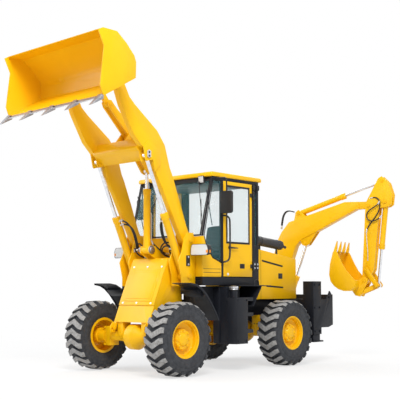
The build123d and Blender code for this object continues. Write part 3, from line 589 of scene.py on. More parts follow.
# %% The carcass
CARCASS = [(-0.150, SEAT_R), (-0.158, 0.272), (-0.172, 0.300), (-0.181, 0.330), (-0.183, 0.338),
           (-0.188, 0.342), (-0.190, 0.375), (-0.189, 0.405), (-0.186, 0.409), (-0.187, 0.432),
           (-0.184, 0.462), (-0.170, 0.486), (-0.150, 0.494), (-0.08, 0.4965), (0, TREAD_R)]


def open_turned(shape, profile, steps):
    """A shape turned round the X axis with nothing closing its ends."""
    turned(shape, ORIGIN, LEFT, profile, steps)
    for face in [f for f in shape.faces if len(f.verts) > 4]:
        shape.faces.remove(face)


def carcass_mesh():
    """The tyre's body, with its ribs and beads."""
    shape = bmesh.new()
    open_turned(shape, CARCASS + [(-x, r) for x, r in reversed(CARCASS[:-1])], 96)
    open_turned(shape, [(-0.150, SEAT_R), (0.150, SEAT_R)], 96)
    bmesh.ops.remove_doubles(shape, verts=shape.verts, dist=1e-5)
    return meshed("carcass", shape)


# %% A dished rim with its hub
RIM_PROFILE = [(-0.164, 0.238), (-0.164, 0.272), (-0.157, 0.2755), (-0.150, 0.268), (-0.146, 0.2605),
               (0.146, 0.2605), (0.150, 0.268), (0.157, 0.2755), (0.164, 0.272), (0.164, 0.262),
               (0.158, 0.254), (0.128, 0.250), (0.122, 0.242), (0.066, 0.240), (0.058, 0.232),
               (0.044, 0.200), (0.038, 0.160), (0.020, 0.158), (0.020, 0.236), (-0.150, 0.236)]
HUB_PROFILE = [(0.030, 0.0), (0.030, 0.158), (0.062, 0.156), (0.066, 0.150), (0.084, 0.148), (0.090, 0.142),
               (0.098, 0.140), (0.100, 0.098), (0.106, 0.094), (0.117, 0.088), (0.121, 0.080), (0.122, 0.0)]


def rim_mesh():
    """The rim and its hub."""
    shape = bmesh.new()
    open_turned(shape, RIM_PROFILE + RIM_PROFILE[:1], 72)
    bmesh.ops.remove_doubles(shape, verts=shape.verts, dist=1e-5)
    turned(shape, ORIGIN, LEFT, HUB_PROFILE, 48)
    return meshed("rim", shape)


# %% The wheel nut, and four wheels
def nut_pattern():
    """A wheel nut on its boss, standing outwards from the hub."""
    shape = bmesh.new()
    start = Vector((0.084, 0, 0.124))
    turned(shape, start, LEFT, [(0, 0.024), (0.016, 0.023), (0.019, 0.019)], 14)
    turned(shape, start, LEFT, [(0.016, 0.0155), (0.030, 0.0155), (0.033, 0.013), (0.033, 0)], 6)
    return pattern("nut_pattern", shape)


NUT, NUT_COUNT = nut_pattern(), 8
TRACK_HALF, AXLE_Y = 0.8845, 1.27


def dress_wheel(corner, side, y):
    """A tyre and a rim in place of the CAD ones."""
    turn = Matrix.Rotation(0 if side > 0 else pi, 4, "Z")
    place = Matrix.Translation((side * TRACK_HALF, y, TYRE_R)) @ turn
    kinds = (("tyre", carcass_mesh(), LUG, LUG_COUNT, TYRE_FINISH, "tyre_rubber"),
             ("rim", rim_mesh(), NUT, NUT_COUNT, AMBER_PAINT, "paint_yellow"))
    for kind, mesh, shape, count, finish, slot in kinds:
        values = {"Shape": shape, "Count": count, "Finish": finish}
        item = grown(f"{kind}_{corner}_dressed", mesh, RING, values)
        item.data.transform(place)
        settle(item, "wheel_" + corner)
        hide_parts(f"{kind}_{corner}")


for end, y in (("front", -AXLE_Y), ("rear", AXLE_Y)):
    for side, word in SIDES:
        dress_wheel(f"{end}_{word}", side, y)
print("tyres have", LUG_COUNT, "lugs")

# %% [markdown]
# ## Front cover
# The sloping plate at the nose is pressed with a raised rectangle, which stops so wide a sheet from
# drumming, and six screws hold it along its top and bottom edges. Two smaller plates on the base
# plate give the double outline that a press tool leaves.

# %% Pressed cover plate
NOSE_LOW, NOSE_HIGH = Vector((0, -1.420, 0.640)), Vector((0, -0.958, 1.727))
UP_SLOPE = (NOSE_HIGH - NOSE_LOW).normalized()
OFF_SLOPE = Vector((0, -UP_SLOPE.z, UP_SLOPE.y))
COVER_T = 0.014


def on_slope(x, run, out=0.0):
    """A point x to the left, run up the sloping nose and out of it."""
    return NOSE_LOW + LEFT * x + UP_SLOPE * run + OFF_SLOPE * out


# Half width, lower edge, upper edge, start and thickness of the base plate and the two on it
COVER_PLATES = ((0.385, 0.400, 1.160, 0.0, COVER_T), (0.305, 0.462, 0.990, 0.010, 0.011),
                (0.270, 0.500, 0.952, 0.018, 0.008))


def front_cover():
    """The cover with its pressed rectangle and its screws."""
    shape = bmesh.new()
    for half, low, high, start, thick in COVER_PLATES:
        square = ((-half, low), (half, low), (half, high), (-half, high))
        slab(shape, [on_slope(x, run, start) for x, run in square], OFF_SLOPE * thick)
    item = made("front_cover_pressed", shape, *YELLOW_FITTING, 0.0045, 3)
    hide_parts("front_cover")
    places = [on_slope(x, run, COVER_T) for x in (-0.30, 0.0, 0.31) for run in (0.434, 1.029)]
    bolts("cover_screws", places, OFF_SLOPE, ZINC, "chassis", "paint_yellow")


front_cover()
print("the cover is", COVER_T, "m thick")

# %% [markdown]
# ## Hoses, pipes and rods
# A hydraulic hose is a smooth curve of one thickness with a crimped steel end on each side, and
# a bent pipe is the same thing in metal. A NURBS curve with a round bevel gives both; it is turned
# into a mesh at once. A hose that crosses a joint rides on neither of its two bodies; its ends do.


# %% A tube along a smooth line
def tube(points, radius, order):
    """A round tube along a smooth line through the control points, as a mesh."""
    line = bpy.data.curves.new("line", "CURVE")
    line.dimensions = "3D"
    line.bevel_depth = radius
    line.bevel_resolution = 2
    line.resolution_u = 5
    line.use_fill_caps = True
    run = line.splines.new("NURBS")
    run.points.add(len(points) - 1)
    for entry, point in zip(run.points, points):
        entry.co = (*point, 1)
    run.order_u = min(order, len(points))
    run.use_endpoint_u = True
    item = placed("line", line)
    mesh = bpy.data.meshes.new_from_object(item.evaluated_get(bpy.context.evaluated_depsgraph_get()))
    bpy.data.objects.remove(item)
    return mesh


# %% Tubes that ride on one body, or on none when they cross a joint
def tubes(name, routes, radius, finish, body, slot, order=4):
    """Several tubes in one piece; when body is a pair of bodies, the piece rides on neither."""
    shape = bmesh.new()
    for route in routes:
        shape.from_mesh(tube([Vector(p) for p in route], radius, order))
    bmesh.ops.remove_doubles(shape, verts=shape.verts, dist=1e-5)
    item = placed(name, meshed(name, shape))
    item.data.materials.append(finish)
    smooth(item.data)
    if isinstance(body, str):
        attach(item, body)
    else:
        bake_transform(item)


def pipes(name, route, body):
    """A bent steel pipe on one body."""
    tubes(name, [route], 0.008, ZINC, body, "paint_yellow", 3)


# %% Crimped hose ends
FITTING = [(0, 0.7), (0, 1.5), (0.016, 1.5), (0.018, 1.15), (0.030, 1.15), (0.032, 1.35), (0.060, 1.35),
           (0.064, 1.1)]


def fittings(name, ends, radius, body):
    """Crimped steel ends, from (place, way) pairs."""
    shape = bmesh.new()
    for place, way in ends:
        turned(shape, Vector(place), Vector(way), [(along, r * radius) for along, r in FITTING], 12)
    made(name, shape, ZINC, body, "paint_yellow")


def hoses(name, routes, radius, first, last):
    """Rubber hoses from one body to another with a crimped end on each."""
    body = first if first == last else (first, last)
    tubes(name, routes, radius, HOSE_RUBBER, body, "paint_yellow")
    for word, body, a, b in (("start", first, 0, 1), ("end", last, -1, -2)):
        ends = [(route[a], Vector(route[b]) - Vector(route[a])) for route in routes]
        fittings(f"{name}_{word}", ends, radius, body)


# %% Points in the backhoe's own plane
SWING_AXIS, SWING_ANGLE = Vector((-0.600, 2.830, 0)), radians(77)
REACH_WAY = Vector((sin(SWING_ANGLE), cos(SWING_ANGLE), 0))
REACH_SIDE = Vector((cos(SWING_ANGLE), -sin(SWING_ANGLE), 0))


def reach(along, up, out=0.0):
    """A point along the backhoe's reach, up from the ground and out of its plane."""
    return SWING_AXIS + REACH_WAY * along + REACH_SIDE * out + Vector((0, 0, up))


print("tubes, fittings and the backhoe plane are ready")

# %% [markdown]
# ## Pins
# Every pivot of a digger is a steel pin in a pair of eyes. What shows is a round boss, the pin's end
# in it and a grease point, or a bolted keeper plate that stops the pin from turning. All of them are
# one lathe shape in two sizes, copied at points, so a pin is only a place and a body to ride on.

# %% Places of the pins: (back, up) for the loader, (along, up) in the backhoe's plane
LIFT_BASE, LIFT_EYE = (-0.794, 1.446), (-1.595, 3.210)
TILT_BASE, TILT_EYE = (-1.048, 1.856), (-1.055, 3.087)
BOOM_RAM_BASE, BOOM_RAM_EYE = (0.242, 0.720), (0.724, 2.112)
DIPPER_RAM_BASE, DIPPER_RAM_EYE = (0.594, 2.676), (2.217, 3.193)
BUCKET_RAM_BASE, BUCKET_RAM_EYE = (2.264, 2.813), (2.098, 1.321)
LIFT_X = 0.535


# %% Pin ends
def cap_pattern(radius):
    """A welded boss with a pin end and a grease point in its middle, standing along Z."""
    shape = bmesh.new()
    boss = [(0, radius * 1.42), (0.005, radius * 1.42), (0.007, radius * 1.34), (0.007, radius * 1.04),
            (0.004, radius * 1.02), (0.004, radius), (0.010, radius * 0.94), (0.010, 0.011), (0.014, 0.010),
            (0.014, 0)]
    turned(shape, ORIGIN, UP, boss, 24)
    return pattern("cap_pattern", shape)


BIG_CAP, SMALL_CAP = cap_pattern(0.030), cap_pattern(0.024)


def side_caps(name, places, body, shape=BIG_CAP, finish=ZINC, slot="worn_steel"):
    """Pin ends on both sides of the machine, from (x, y, z) of the left ones."""
    for side, word in SIDES:
        bolts(f"{name}_{word}", on_side(side, places), (side, 0, 0), finish, body, slot, shape)


def reach_caps(name, places, body, shape=SMALL_CAP):
    """Pin ends on both faces of a backhoe piece, from (along, up, out)."""
    for side, word in ((1, "near"), (-1, "far")):
        points = [reach(along, up, side * out) for along, up, out in places]
        bolts(f"{name}_{word}", points, REACH_SIDE * side, AMBER_PAINT, body, "paint_yellow", shape)


# %% Pins of the loader and the backhoe
PAINTED = (AMBER_PAINT, "paint_yellow")
side_caps("tower_pins", [(0.668, -0.772, 1.997), (0.668, *LIFT_BASE)], "chassis", BIG_CAP, *PAINTED)
side_caps("lift_eye_pins", [(0.596, *LIFT_EYE)], "arm", BIG_CAP, *PAINTED)
side_caps("bucket_pin_ends", [(0.625, -2.210, 4.290)], "bucket_hinge")
side_caps("tilt_eye_pins", [(0.072, *TILT_EYE)], "rocker", SMALL_CAP, *PAINTED)
side_caps("link_pin_ends", [(0.081, -2.371, 4.593)], "link_shaft", SMALL_CAP)
side_caps("rocker_pin_ends", [(0.121, -1.420, 3.560)], "rocker_shaft")
side_caps("tilt_pin_ends", [(0.111, *TILT_BASE)], "tilt_trunnion")
reach_caps("post_pins", [(0.150, 1.370, 0.135), (*BOOM_RAM_BASE, 0.135)], "post", BIG_CAP)
reach_caps("boom_pins", [(*DIPPER_RAM_BASE, 0.086), (*BOOM_RAM_EYE, 0.068)], "boom")
dipper_pins = [(1.961, 2.757, 0.092), (*BUCKET_RAM_BASE, 0.092), (*DIPPER_RAM_EYE, 0.084)]
reach_caps("dipper_pins", dipper_pins, "dipper")
reach_caps("lever_pins", [(1.906, 1.615, 0.134), (*BUCKET_RAM_EYE, 0.140)], "lever")
reach_caps("digging_bucket_pins", [(1.867, 1.408, 0.116)], "hoe_bucket")
reach_caps("tipping_link_pins", [(1.774, 1.185, 0.080)], "hoe_link")

# %% Keeper plates over the upper lift pins
KEEPER = [(-1.640, 3.258), (-1.600, 3.283), (-1.560, 3.262), (-1.562, 3.180), (-1.600, 3.160),
          (-1.635, 3.176)]
for side, word in SIDES:
    outline = at_side(side * 0.609, KEEPER)
    plate(f"pin_keeper_{word}", outline, LEFT * (side * 0.006), ZINC, "arm", "worn_steel", 0.002)
    places = at_side(side * 0.615, [(-1.598, 3.245), (-1.598, 3.190)])
    bolts(f"pin_keeper_bolts_{word}", places, (side, 0, 0), CAST_IRON, "arm", "worn_steel")

# %% [markdown]
# ## Cab windows
# The panes sit in black rubber, which shows as a dark line inside the yellow door frame and along
# the sloping front post. The line could be cut into the frame, but a flat ring drawn from the pane's
# own corners keeps one even width. Each door has a lever handle, a small grille, two hinges and a
# long grab bar beside it.


# %% Rubber round a window
def surround(name, outline, way, width, finish, body, slot, edge=0.003):
    """A flat ring along an outline of points, as wide as width and as deep as way."""
    middle = sum(outline, Vector()) / len(outline)
    count = len(outline)
    inner = []
    normal = way.normalized()
    for i, corner in enumerate(outline):
        before = (corner - outline[i - 1]).normalized()
        after = (outline[(i + 1) % count] - corner).normalized()
        a, b = before.cross(normal), after.cross(normal)
        inward = (a + b) / max(0.3, 1 + a.dot(b))
        inward = inward if inward.dot(middle - corner) > 0 else -inward
        inner.append(corner + inward * width)
    shape = bmesh.new()
    near_out, far_out, near_in, far_in = [[shape.verts.new(p + depth) for p in ring]
                                          for ring in (outline, inner) for depth in (ORIGIN, way)]
    for i in range(count):
        j = (i + 1) % count
        for a, b in ((near_out, far_out), (far_out, far_in), (far_in, near_in), (near_in, near_out)):
            shape.faces.new((a[i], a[j], b[j], b[i]))
    made(name, shape, finish, body, slot, edge)


# %% Door hinges
HINGE_X, HINGE_Y, HINGE_R = 0.818, 0.535, 0.0135
HINGE_HEIGHTS = (1.618, 2.760)


def door_hinges(side, word):
    """The leaves that turn with a door, and the knuckles on the post."""
    leaf, knuckles = bmesh.new(), bmesh.new()
    low, high = sorted((side * 0.8045, side * 0.8135))
    for z in HINGE_HEIGHTS:
        boxed(leaf, (low, 0.468, z - 0.0305), (high, 0.533, z + 0.0305))
        pin = Vector((side * HINGE_X, HINGE_Y, z))
        turned(leaf, pin - UP * 0.0302, UP, [(0, HINGE_R), (0.0604, HINGE_R)], 20)
        for end in (0.0358, -0.0752):
            turned(knuckles, pin + UP * end, UP, [(0, HINGE_R), (0.0394, HINGE_R)], 20)
    made(f"hinge_leaf_{word}", leaf, BLACK_PLASTIC, f"door_{word}", "black_plastic", 0.0015)
    made(f"hinge_knuckles_{word}", knuckles, *BLACK_FITTING, 0.0015)


# %% Door rubbers, handles, grilles and grab bars
DOOR_X = 0.800
DOOR_PANE = [(-0.112, 1.963), (0.464, 1.963), (0.464, 2.882), (-0.112, 2.882)]
HANDLE_BOSS = [(0, 0.026), (0.008, 0.026), (0.012, 0.014), (0.030, 0.013)]
HANDLE_LEVER = [(-0.062, 1.915), (0.132, 1.903), (0.136, 1.889), (-0.062, 1.884)]
GRILLE = [(0.217, 1.579), (0.331, 1.579), (0.331, 1.653), (0.217, 1.653)]
GRAB_BAR = [(DOOR_X, -0.205, 2.392), (0.862, -0.190, 2.398), (0.868, -0.110, 2.360), (0.868, -0.098, 2.280),
            (0.868, -0.098, 1.830), (0.868, -0.110, 1.720), (0.862, -0.180, 1.672), (DOOR_X, -0.205, 1.668)]


def door_fittings(side, word):
    """What is screwed to one door and to the posts beside it."""
    door, face = f"door_{word}", side * DOOR_X
    on_door = (BLACK_PLASTIC, door, "black_plastic")
    surround(f"door_rubber_{word}", at_side(side * 0.798, DOOR_PANE), LEFT * (side * 0.005), 0.032,
             WINDOW_RUBBER, door, "black_plastic")
    shape = bmesh.new()
    turned(shape, Vector((face, -0.040, 1.902)), LEFT * side, HANDLE_BOSS, 20)
    slab(shape, at_side(face + side * 0.024, HANDLE_LEVER), LEFT * (side * 0.016))
    made(f"door_handle_{word}", shape, *on_door, 0.005, 3)
    plate(f"door_grille_{word}", at_side(face, GRILLE), LEFT * (side * 0.006), *on_door, 0.004)
    shape = bmesh.new()
    for index in range(5):
        z = 1.590 + index * 0.0125
        bar = [(0.226, z), (0.322, z), (0.322, z + 0.006), (0.226, z + 0.006)]
        slab(shape, at_side(face + side * 0.005, bar), LEFT * (side * 0.006))
    made(f"door_grille_bars_{word}", shape, WINDOW_RUBBER, door, "black_plastic", 0.0015)
    tubes(f"grab_bar_{word}", [on_side(side, GRAB_BAR)], 0.014, *BLACK_FITTING, 3)
    door_hinges(side, word)


for side, word in SIDES:
    door_fittings(side, word)
print("each door has", len(HINGE_HEIGHTS), "hinges")

# %% Front glass rubbers and the struts of the quarter windows
QUARTER = [(-0.413, 2.946), (-0.219, 2.946), (-0.219, 1.660), (-0.422, 1.733), (-0.556, 1.900),
           (-0.622, 2.062)]
for side, word in SIDES:
    outline = at_side(side * 0.789, QUARTER)
    surround(f"quarter_rubber_{word}", outline, LEFT * (side * 0.009), 0.013, *RUBBER_FITTING)
    strut = on_side(side, [(0.765, -0.530, 2.775), (0.765, -0.400, 2.234)])
    tubes(f"quarter_strut_{word}", [strut], 0.007, *IRON_FITTING, 2)

# %% Windscreen rubber
SCREEN_TOP_Y, SCREEN_TOP_Z, SCREEN_SLOPE = -0.433, 2.990, 0.2366


def on_windscreen(x, z, out=0.0):
    """A point of the sloping windscreen."""
    return Vector((x, SCREEN_TOP_Y - (SCREEN_TOP_Z - z) * SCREEN_SLOPE - out, z))


corners = [on_windscreen(x, z) for x, z in ((-0.768, 2.062), (0.768, 2.062), (0.768, 2.944), (-0.768, 2.944))]
surround("windscreen_rubber", corners, Vector((0, -0.008, -0.002)), 0.024, *RUBBER_FITTING)


# %% Wipers
def wiper(name, pivot, tip):
    """A windscreen wiper hung from a motor above the glass: an arm with a blade along its lower half."""
    arm = [on_windscreen(*pivot, 0.020), on_windscreen(*pivot, 0.026), on_windscreen(*tip, 0.022)]
    tubes(name + "_arm", [arm], 0.006, *BLACK_FITTING, 2)
    middle = on_windscreen((pivot[0] + tip[0]) / 2, (pivot[1] + tip[1]) / 2, 0.012)
    end = on_windscreen(tip[0], tip[1] - 0.12, 0.012)
    across = LEFT * 0.006
    shape = bmesh.new()
    slab(shape, [middle - across, middle + across, end + across, end - across], Vector((0, 0.010, 0.002)))
    turned(shape, on_windscreen(*pivot, -0.002), Vector((0, -1, -SCREEN_SLOPE)),
           [(0, 0.03), (0.016, 0.028), (0.026, 0.016), (0.026, 0)], 18)
    made(name, shape, *BLACK_FITTING, 0.002)


wiper("wiper_left", (0.560, 2.900), (0.735, 2.360))
wiper("wiper_right", (-0.250, 2.900), (-0.480, 2.360))

# %% [markdown]
# ## Inside the cab
# The driver's place is seen through tinted glass, so it is mostly dark shapes: a ribbed seat with a
# high back, a dashboard with the steering column, and the levers that work the loader and the
# backhoe. The seat's cushions are crowned forms: a grid whose edges are pulled in and whose middle
# swells. They could be sculpted by hand, but a formula is easier to change.

# %% A crowned cushion with sewn ribs
SWELL, PULL, RIB_DEPTH = 0.018, 0.020, 0.007


def cushion(name, centre, size, up, ribs):
    """A padded block: size is (width, depth, thickness), up is the way its sewn face looks."""
    width, depth, thick = size
    up = up.normalized()
    along = up.cross(LEFT).normalized()
    columns, rows = 22, 36
    shape = bmesh.new()

    def place(u, v, face):
        """A point of the top or the bottom skin."""
        rim = max(0.0, 1 - max(abs(u), abs(v)) ** 6)
        inset = PULL * (u * u * v * v)
        rib = RIB_DEPTH * (1 - abs(sin(pi * ribs * (v + 1) / 2)) ** 0.6) * (1 if abs(u) < 0.80 else 0.3)
        crowned = SWELL * (1 - u * u) * (1 - v ** 4) - rib * rim
        lift = thick / 2 * (0.55 + 0.45 * rim ** 0.5) + crowned * (face > 0)
        flat = centre + LEFT * (u * (width / 2 - inset)) + along * (v * (depth / 2 - inset))
        return flat + up * (lift * face)

    us = [2 * i / columns - 1 for i in range(columns + 1)]
    vs = [2 * j / rows - 1 for j in range(rows + 1)]
    skins = [[[shape.verts.new(place(u, v, face)) for u in us] for v in vs] for face in (1, -1)]
    for grid in skins:
        for low, high in zip(grid, grid[1:]):
            for i in range(columns):
                shape.faces.new((low[i], low[i + 1], high[i + 1], high[i]))
    border = [(0, i) for i in range(columns)] + [(j, columns) for j in range(rows)]
    border += [(rows, i) for i in range(columns, 0, -1)] + [(j, 0) for j in range(rows, 0, -1)]
    for (j0, i0), (j1, i1) in zip(border, border[1:] + border[:1]):
        shape.faces.new((skins[0][j0][i0], skins[0][j1][i1], skins[1][j1][i1], skins[1][j0][i0]))
    item = made(name, shape, SEAT_VINYL, "chassis", "seat_vinyl", 0.004)
    smooth(item.data, 60)


# %% Driver's seat
BACK_TOP, BACK_LOW = Vector((0, 0.585, 2.310)), Vector((0, 0.525, 1.780))
back_up = (BACK_TOP - BACK_LOW).normalized()
back_face = Vector((0, -back_up.z, back_up.y))
cushion("seat_cushion", Vector((0, 0.320, 1.700)), (0.470, 0.440, 0.100), Vector((0, -0.05, 1)), 5)
cushion("seat_back", (BACK_TOP + BACK_LOW) / 2 - back_face * 0.006, (0.450, 0.530, 0.080), back_face, 7)
SEAT_PAN = [(0.505, 1.648), (0.120, 1.648), (0.112, 1.632), (0.150, 1.610), (0.500, 1.610), (0.590, 1.640)]
shape = bmesh.new()
slab(shape, at_side(-0.215, SEAT_PAN), LEFT * 0.430)
for index in range(5):
    half, z = 0.150 - 0.006 * (index % 2), 1.400 + index * 0.042
    boxed(shape, (-half, 0.190, z), (half, 0.470, z + 0.034))
boxed(shape, (-0.170, 0.170, 1.357), (0.170, 0.500, 1.398))
seat_base = made("seat_base", shape, *BLACK_FITTING, 0.006)
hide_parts("seat")
for side, word in SIDES:
    housing(f"armrest_{word}", side, (0.183, 0.250, 1.850), (0.227, 0.530, 1.888), SEAT_VINYL, "chassis",
            "seat_vinyl", 0.012, 3)
print("the seat's back is", round((BACK_TOP - BACK_LOW).length, 3), "m high")

# %% Dashboard and steering column
DASH = [(-0.632, 1.445), (-0.632, 2.000), (-0.560, 2.030), (-0.430, 1.900), (-0.330, 1.700), (-0.300, 1.445)]
COLUMN_FOOT, COLUMN_TOP = Vector((0, -0.150, 1.362)), Vector((0, -0.108, 1.950))
COLUMN = [(0, 0.075), (0.030, 0.070), (0.080, 0.044), (0.400, 0.038), (0.440, 0.050), (0.560, 0.046),
          (0.585, 0.030)]
plate("dashboard", at_side(-0.330, DASH), LEFT * 0.660, *BLACK_FITTING, 0.014, 3)
column = lathed("steering_column", COLUMN_FOOT, COLUMN_TOP - COLUMN_FOOT, COLUMN, 24, *BLACK_FITTING)
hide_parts("console")


# %% Steering wheel
def steering_wheel():
    """A round rim on three spokes, on top of the column."""
    up = Vector((0, 0.45, 0.89)).normalized()
    u, v = square_to(up)
    steps, around, wheel_r, rim_r = 48, 10, 0.176, 0.014
    shape = bmesh.new()
    rings = []
    for k in range(steps):
        out = u * cos(tau * k / steps) + v * sin(tau * k / steps)
        middle = COLUMN_TOP + up * 0.022 + out * wheel_r
        turns = [tau * m / around for m in range(around)]
        rings.append([shape.verts.new(middle + (out * cos(a) + up * sin(a)) * rim_r) for a in turns])
    for ring, further in zip(rings, rings[1:] + rings[:1]):
        for m in range(around):
            n = (m + 1) % around
            shape.faces.new((ring[m], further[m], further[n], ring[n]))
    turned(shape, COLUMN_TOP - up * 0.004, up, [(0, 0.040), (0.022, 0.046), (0.034, 0.030), (0.034, 0)], 24)
    for k in range(3):
        out = u * cos(tau * k / 3 + 0.5) + v * sin(tau * k / 3 + 0.5)
        turned(shape, COLUMN_TOP + up * 0.010 + out * 0.030, out, [(0, 0.010), (0.142, 0.008)], 10)
    made("steering_wheel", shape, *BLACK_FITTING)


steering_wheel()
print("the steering wheel stands", round(COLUMN_TOP.z, 2), "m above the ground")

# %% Levers
KNOB = [(0, 0.010), (0.010, 0.022), (0.030, 0.026), (0.048, 0.018), (0.052, 0)]
levers = [[(x, -0.020, 1.370), (x, -0.050, 1.700), (x * 1.1, -0.020, 1.860)] for x in (0.300, 0.360)]
levers += [[(x, 0.600, 1.370), (x, 0.590, 1.700), (x, 0.560, 1.880)] for x in (-0.420, -0.340, 0.330, 0.410)]
tubes("lever_rods", levers, 0.008, *IRON_FITTING, 3)
shape = bmesh.new()
for route in levers:
    turned(shape, Vector(route[-1]), Vector(route[-1]) - Vector(route[-2]), KNOB, 14)
made("lever_knobs", shape, *BLACK_FITTING)
print("the cab has", len(levers), "levers")

# %% Headliner, with the box under its front edge
shape = bmesh.new()
boxed(shape, (-0.745, -0.375, 2.905), (0.745, 0.636, 2.942))
boxed(shape, (-0.620, -0.395, 2.800), (-0.330, -0.330, 2.900))
headliner = made("headliner", shape, *BLACK_FITTING, 0.012)
print("under the roof:", headliner.name)

# %% [markdown]
# ## Lamps and mirrors
# Each headlamp is a moulded housing with a clear front, two turned reflectors behind it and an amber
# corner. Its layers come from one outline, drawn in a little further for each, so they share one
# middle. The mirrors are black shells on bent tubes, with the glass on their rear face.

# %% Headlamps on their brackets beside the towers
LAMP_OUTLINE = [(0.686, 1.776), (0.704, 1.760), (1.012, 1.757), (1.030, 1.774), (1.036, 1.850),
                (1.014, 1.912), (0.992, 1.924), (0.728, 1.927), (0.704, 1.912), (0.688, 1.860)]
LAMP_X, LAMP_Z = 0.862, 1.842
BOWL = [(0.0, 0.066), (-0.005, 0.066), (-0.006, 0.060), (0.0, 0.040), (0.002, 0.018), (-0.005, 0.016),
        (-0.006, 0.0)]
LAMP_ARM = [(0.665, -0.740, 1.800), (0.690, -0.740, 1.812), (0.715, -0.740, 1.812)]


def headlamp(side, word):
    """One headlamp, from its housing to its lens and its arm."""

    def ring(share, y):
        """The outline drawn in towards its middle, on a plane square to Y."""
        return [Vector((side * (LAMP_X + (x - LAMP_X) * share), y, LAMP_Z + (z - LAMP_Z) * (share - 0.03)))
                for x, z in LAMP_OUTLINE]

    shape = bmesh.new()
    slab(shape, ring(1.03, -0.786), BACK * 0.030)
    slab(shape, ring(0.90, -0.760), BACK * 0.076)
    shell = made(f"headlamp_housing_{word}", shape, *BLACK_FITTING, 0.009, 3)
    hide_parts("headlamps")
    surround(f"headlamp_rim_{word}", ring(1.03, -0.785), BACK * -0.010, 0.010, *BLACK_FITTING, 0.002)
    plate(f"headlamp_bowl_plate_{word}", ring(0.94, -0.790), BACK * 0.006, REFLECTOR, "chassis", "rod_chrome")
    shape = bmesh.new()
    for x in (0.786, 0.930):
        turned(shape, Vector((side * x, -0.792, LAMP_Z)), BACK, BOWL, 28)
    made(f"headlamp_bowls_{word}", shape, WHITE_PLASTIC, "chassis", "rod_chrome")
    plate(f"headlamp_lens_{word}", ring(0.95, -0.7990), BACK * 0.0022, LAMP_GLASS, "chassis", "glass")
    housing(f"indicator_{word}", side, (0.992, -0.7995, 1.790), (1.034, -0.730, 1.838), AMBER_LENS, "chassis",
            "glass", 0.006)
    housing(f"headlamp_bracket_{word}", side, (0.655, -0.868, 1.600), (0.672, -0.790, 1.760), *BLACK_FITTING,
            0.006, 3)
    places = at_side(side * 0.672, [(-0.829, 1.625), (-0.829, 1.735)])
    bolts(f"headlamp_bracket_bolts_{word}", places, (side, 0, 0), ZINC, "chassis", "black_plastic")
    tubes(f"headlamp_arm_{word}", [on_side(side, LAMP_ARM)], 0.016, *BLACK_FITTING, 3)


for side, word in SIDES:
    headlamp(side, word)
print("headlamps stand", LAMP_Z, "m above the ground")

# %% Mirrors on bent tubes from the roof's edge
MIRROR_OUTLINE = [(0.822, 2.440), (0.846, 2.416), (1.038, 2.416), (1.060, 2.440), (1.062, 2.735),
                  (1.040, 2.764), (0.842, 2.768), (0.820, 2.745)]
MIRROR_X, MIRROR_Z = 0.941, 2.59
MIRROR_TUBE = [(0.802, -0.345, 2.962), (0.850, -0.320, 2.968), (0.900, -0.290, 2.972), (0.935, -0.262, 2.965),
               (MIRROR_X, -0.260, 2.900), (MIRROR_X, -0.260, 2.760)]
for side, word in SIDES:
    shell = plate(f"mirror_shell_{word}", [Vector((side * x, -0.281, z)) for x, z in MIRROR_OUTLINE],
                  BACK * 0.042, *BLACK_FITTING, 0.012, 4)
    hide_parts("mirrors")
    glass = [Vector((side * (MIRROR_X + (x - MIRROR_X) * 0.9), -0.2385, MIRROR_Z + (z - MIRROR_Z) * 0.93))
             for x, z in MIRROR_OUTLINE]
    plate(f"mirror_glass_{word}", glass, BACK * 0.0015, REFLECTOR, "chassis", "rod_chrome")
    tubes(f"mirror_bracket_{word}", [on_side(side, MIRROR_TUBE)], 0.011, *BLACK_FITTING, 3)
print("mirrors stand", MIRROR_X, "m out from the middle")


# %% Work lamps and rear lamps
def work_lamp(name, centre, way, size):
    """A square work lamp: a body and a lens that stands just proud of it."""
    way, centre = Vector(way).normalized(), Vector(centre)
    across = Vector((way.y, -way.x, 0)).normalized()
    up = across.cross(way).normalized()
    up = up if up.z > 0 else -up
    half = size / 2
    corners = ((-1, -1), (1, -1), (1, 1), (-1, 1))
    square = [centre + across * (a * half) + up * (b * half) for a, b in corners]
    plate(name + "_body", square, -way * 0.050, *BLACK_FITTING, 0.010, 3)
    lens = [centre + (p - centre) * 0.82 + way * 0.0005 for p in square]
    plate(name + "_lens", lens, way * 0.004, LAMP_GLASS, "chassis", "glass", 0.0015)


for name, x in (("front_work_lamp", 0.600), ("front_work_lamp_right", -0.600)):
    work_lamp(name, (x, -0.474, 2.948), (0, -1, -0.1), 0.118)
TAIL_LENSES = (("red", 0.870, 0.954, RED_LENS), ("amber", 0.958, 1.014, AMBER_LENS))
for side, word in SIDES:
    work_lamp(f"side_work_lamp_{word}", (side * 0.812, 0.655, 2.888), BACK, 0.085)
    housing(f"post_lamp_{word}", side, (0.805, 0.530, 2.848), (0.828, 0.598, 2.930), *BLACK_FITTING, 0.009)
    housing(f"tail_lamp_body_{word}", side, (0.862, 2.082, 1.245), (1.022, 2.106, 1.325), *BLACK_FITTING,
            0.008)
    for kind, x0, x1, lens in TAIL_LENSES:
        housing(f"tail_lamp_{kind}_{word}", side, (x0, 2.100, 1.253), (x1, 2.116, 1.317), lens, "chassis",
                "glass", 0.005)
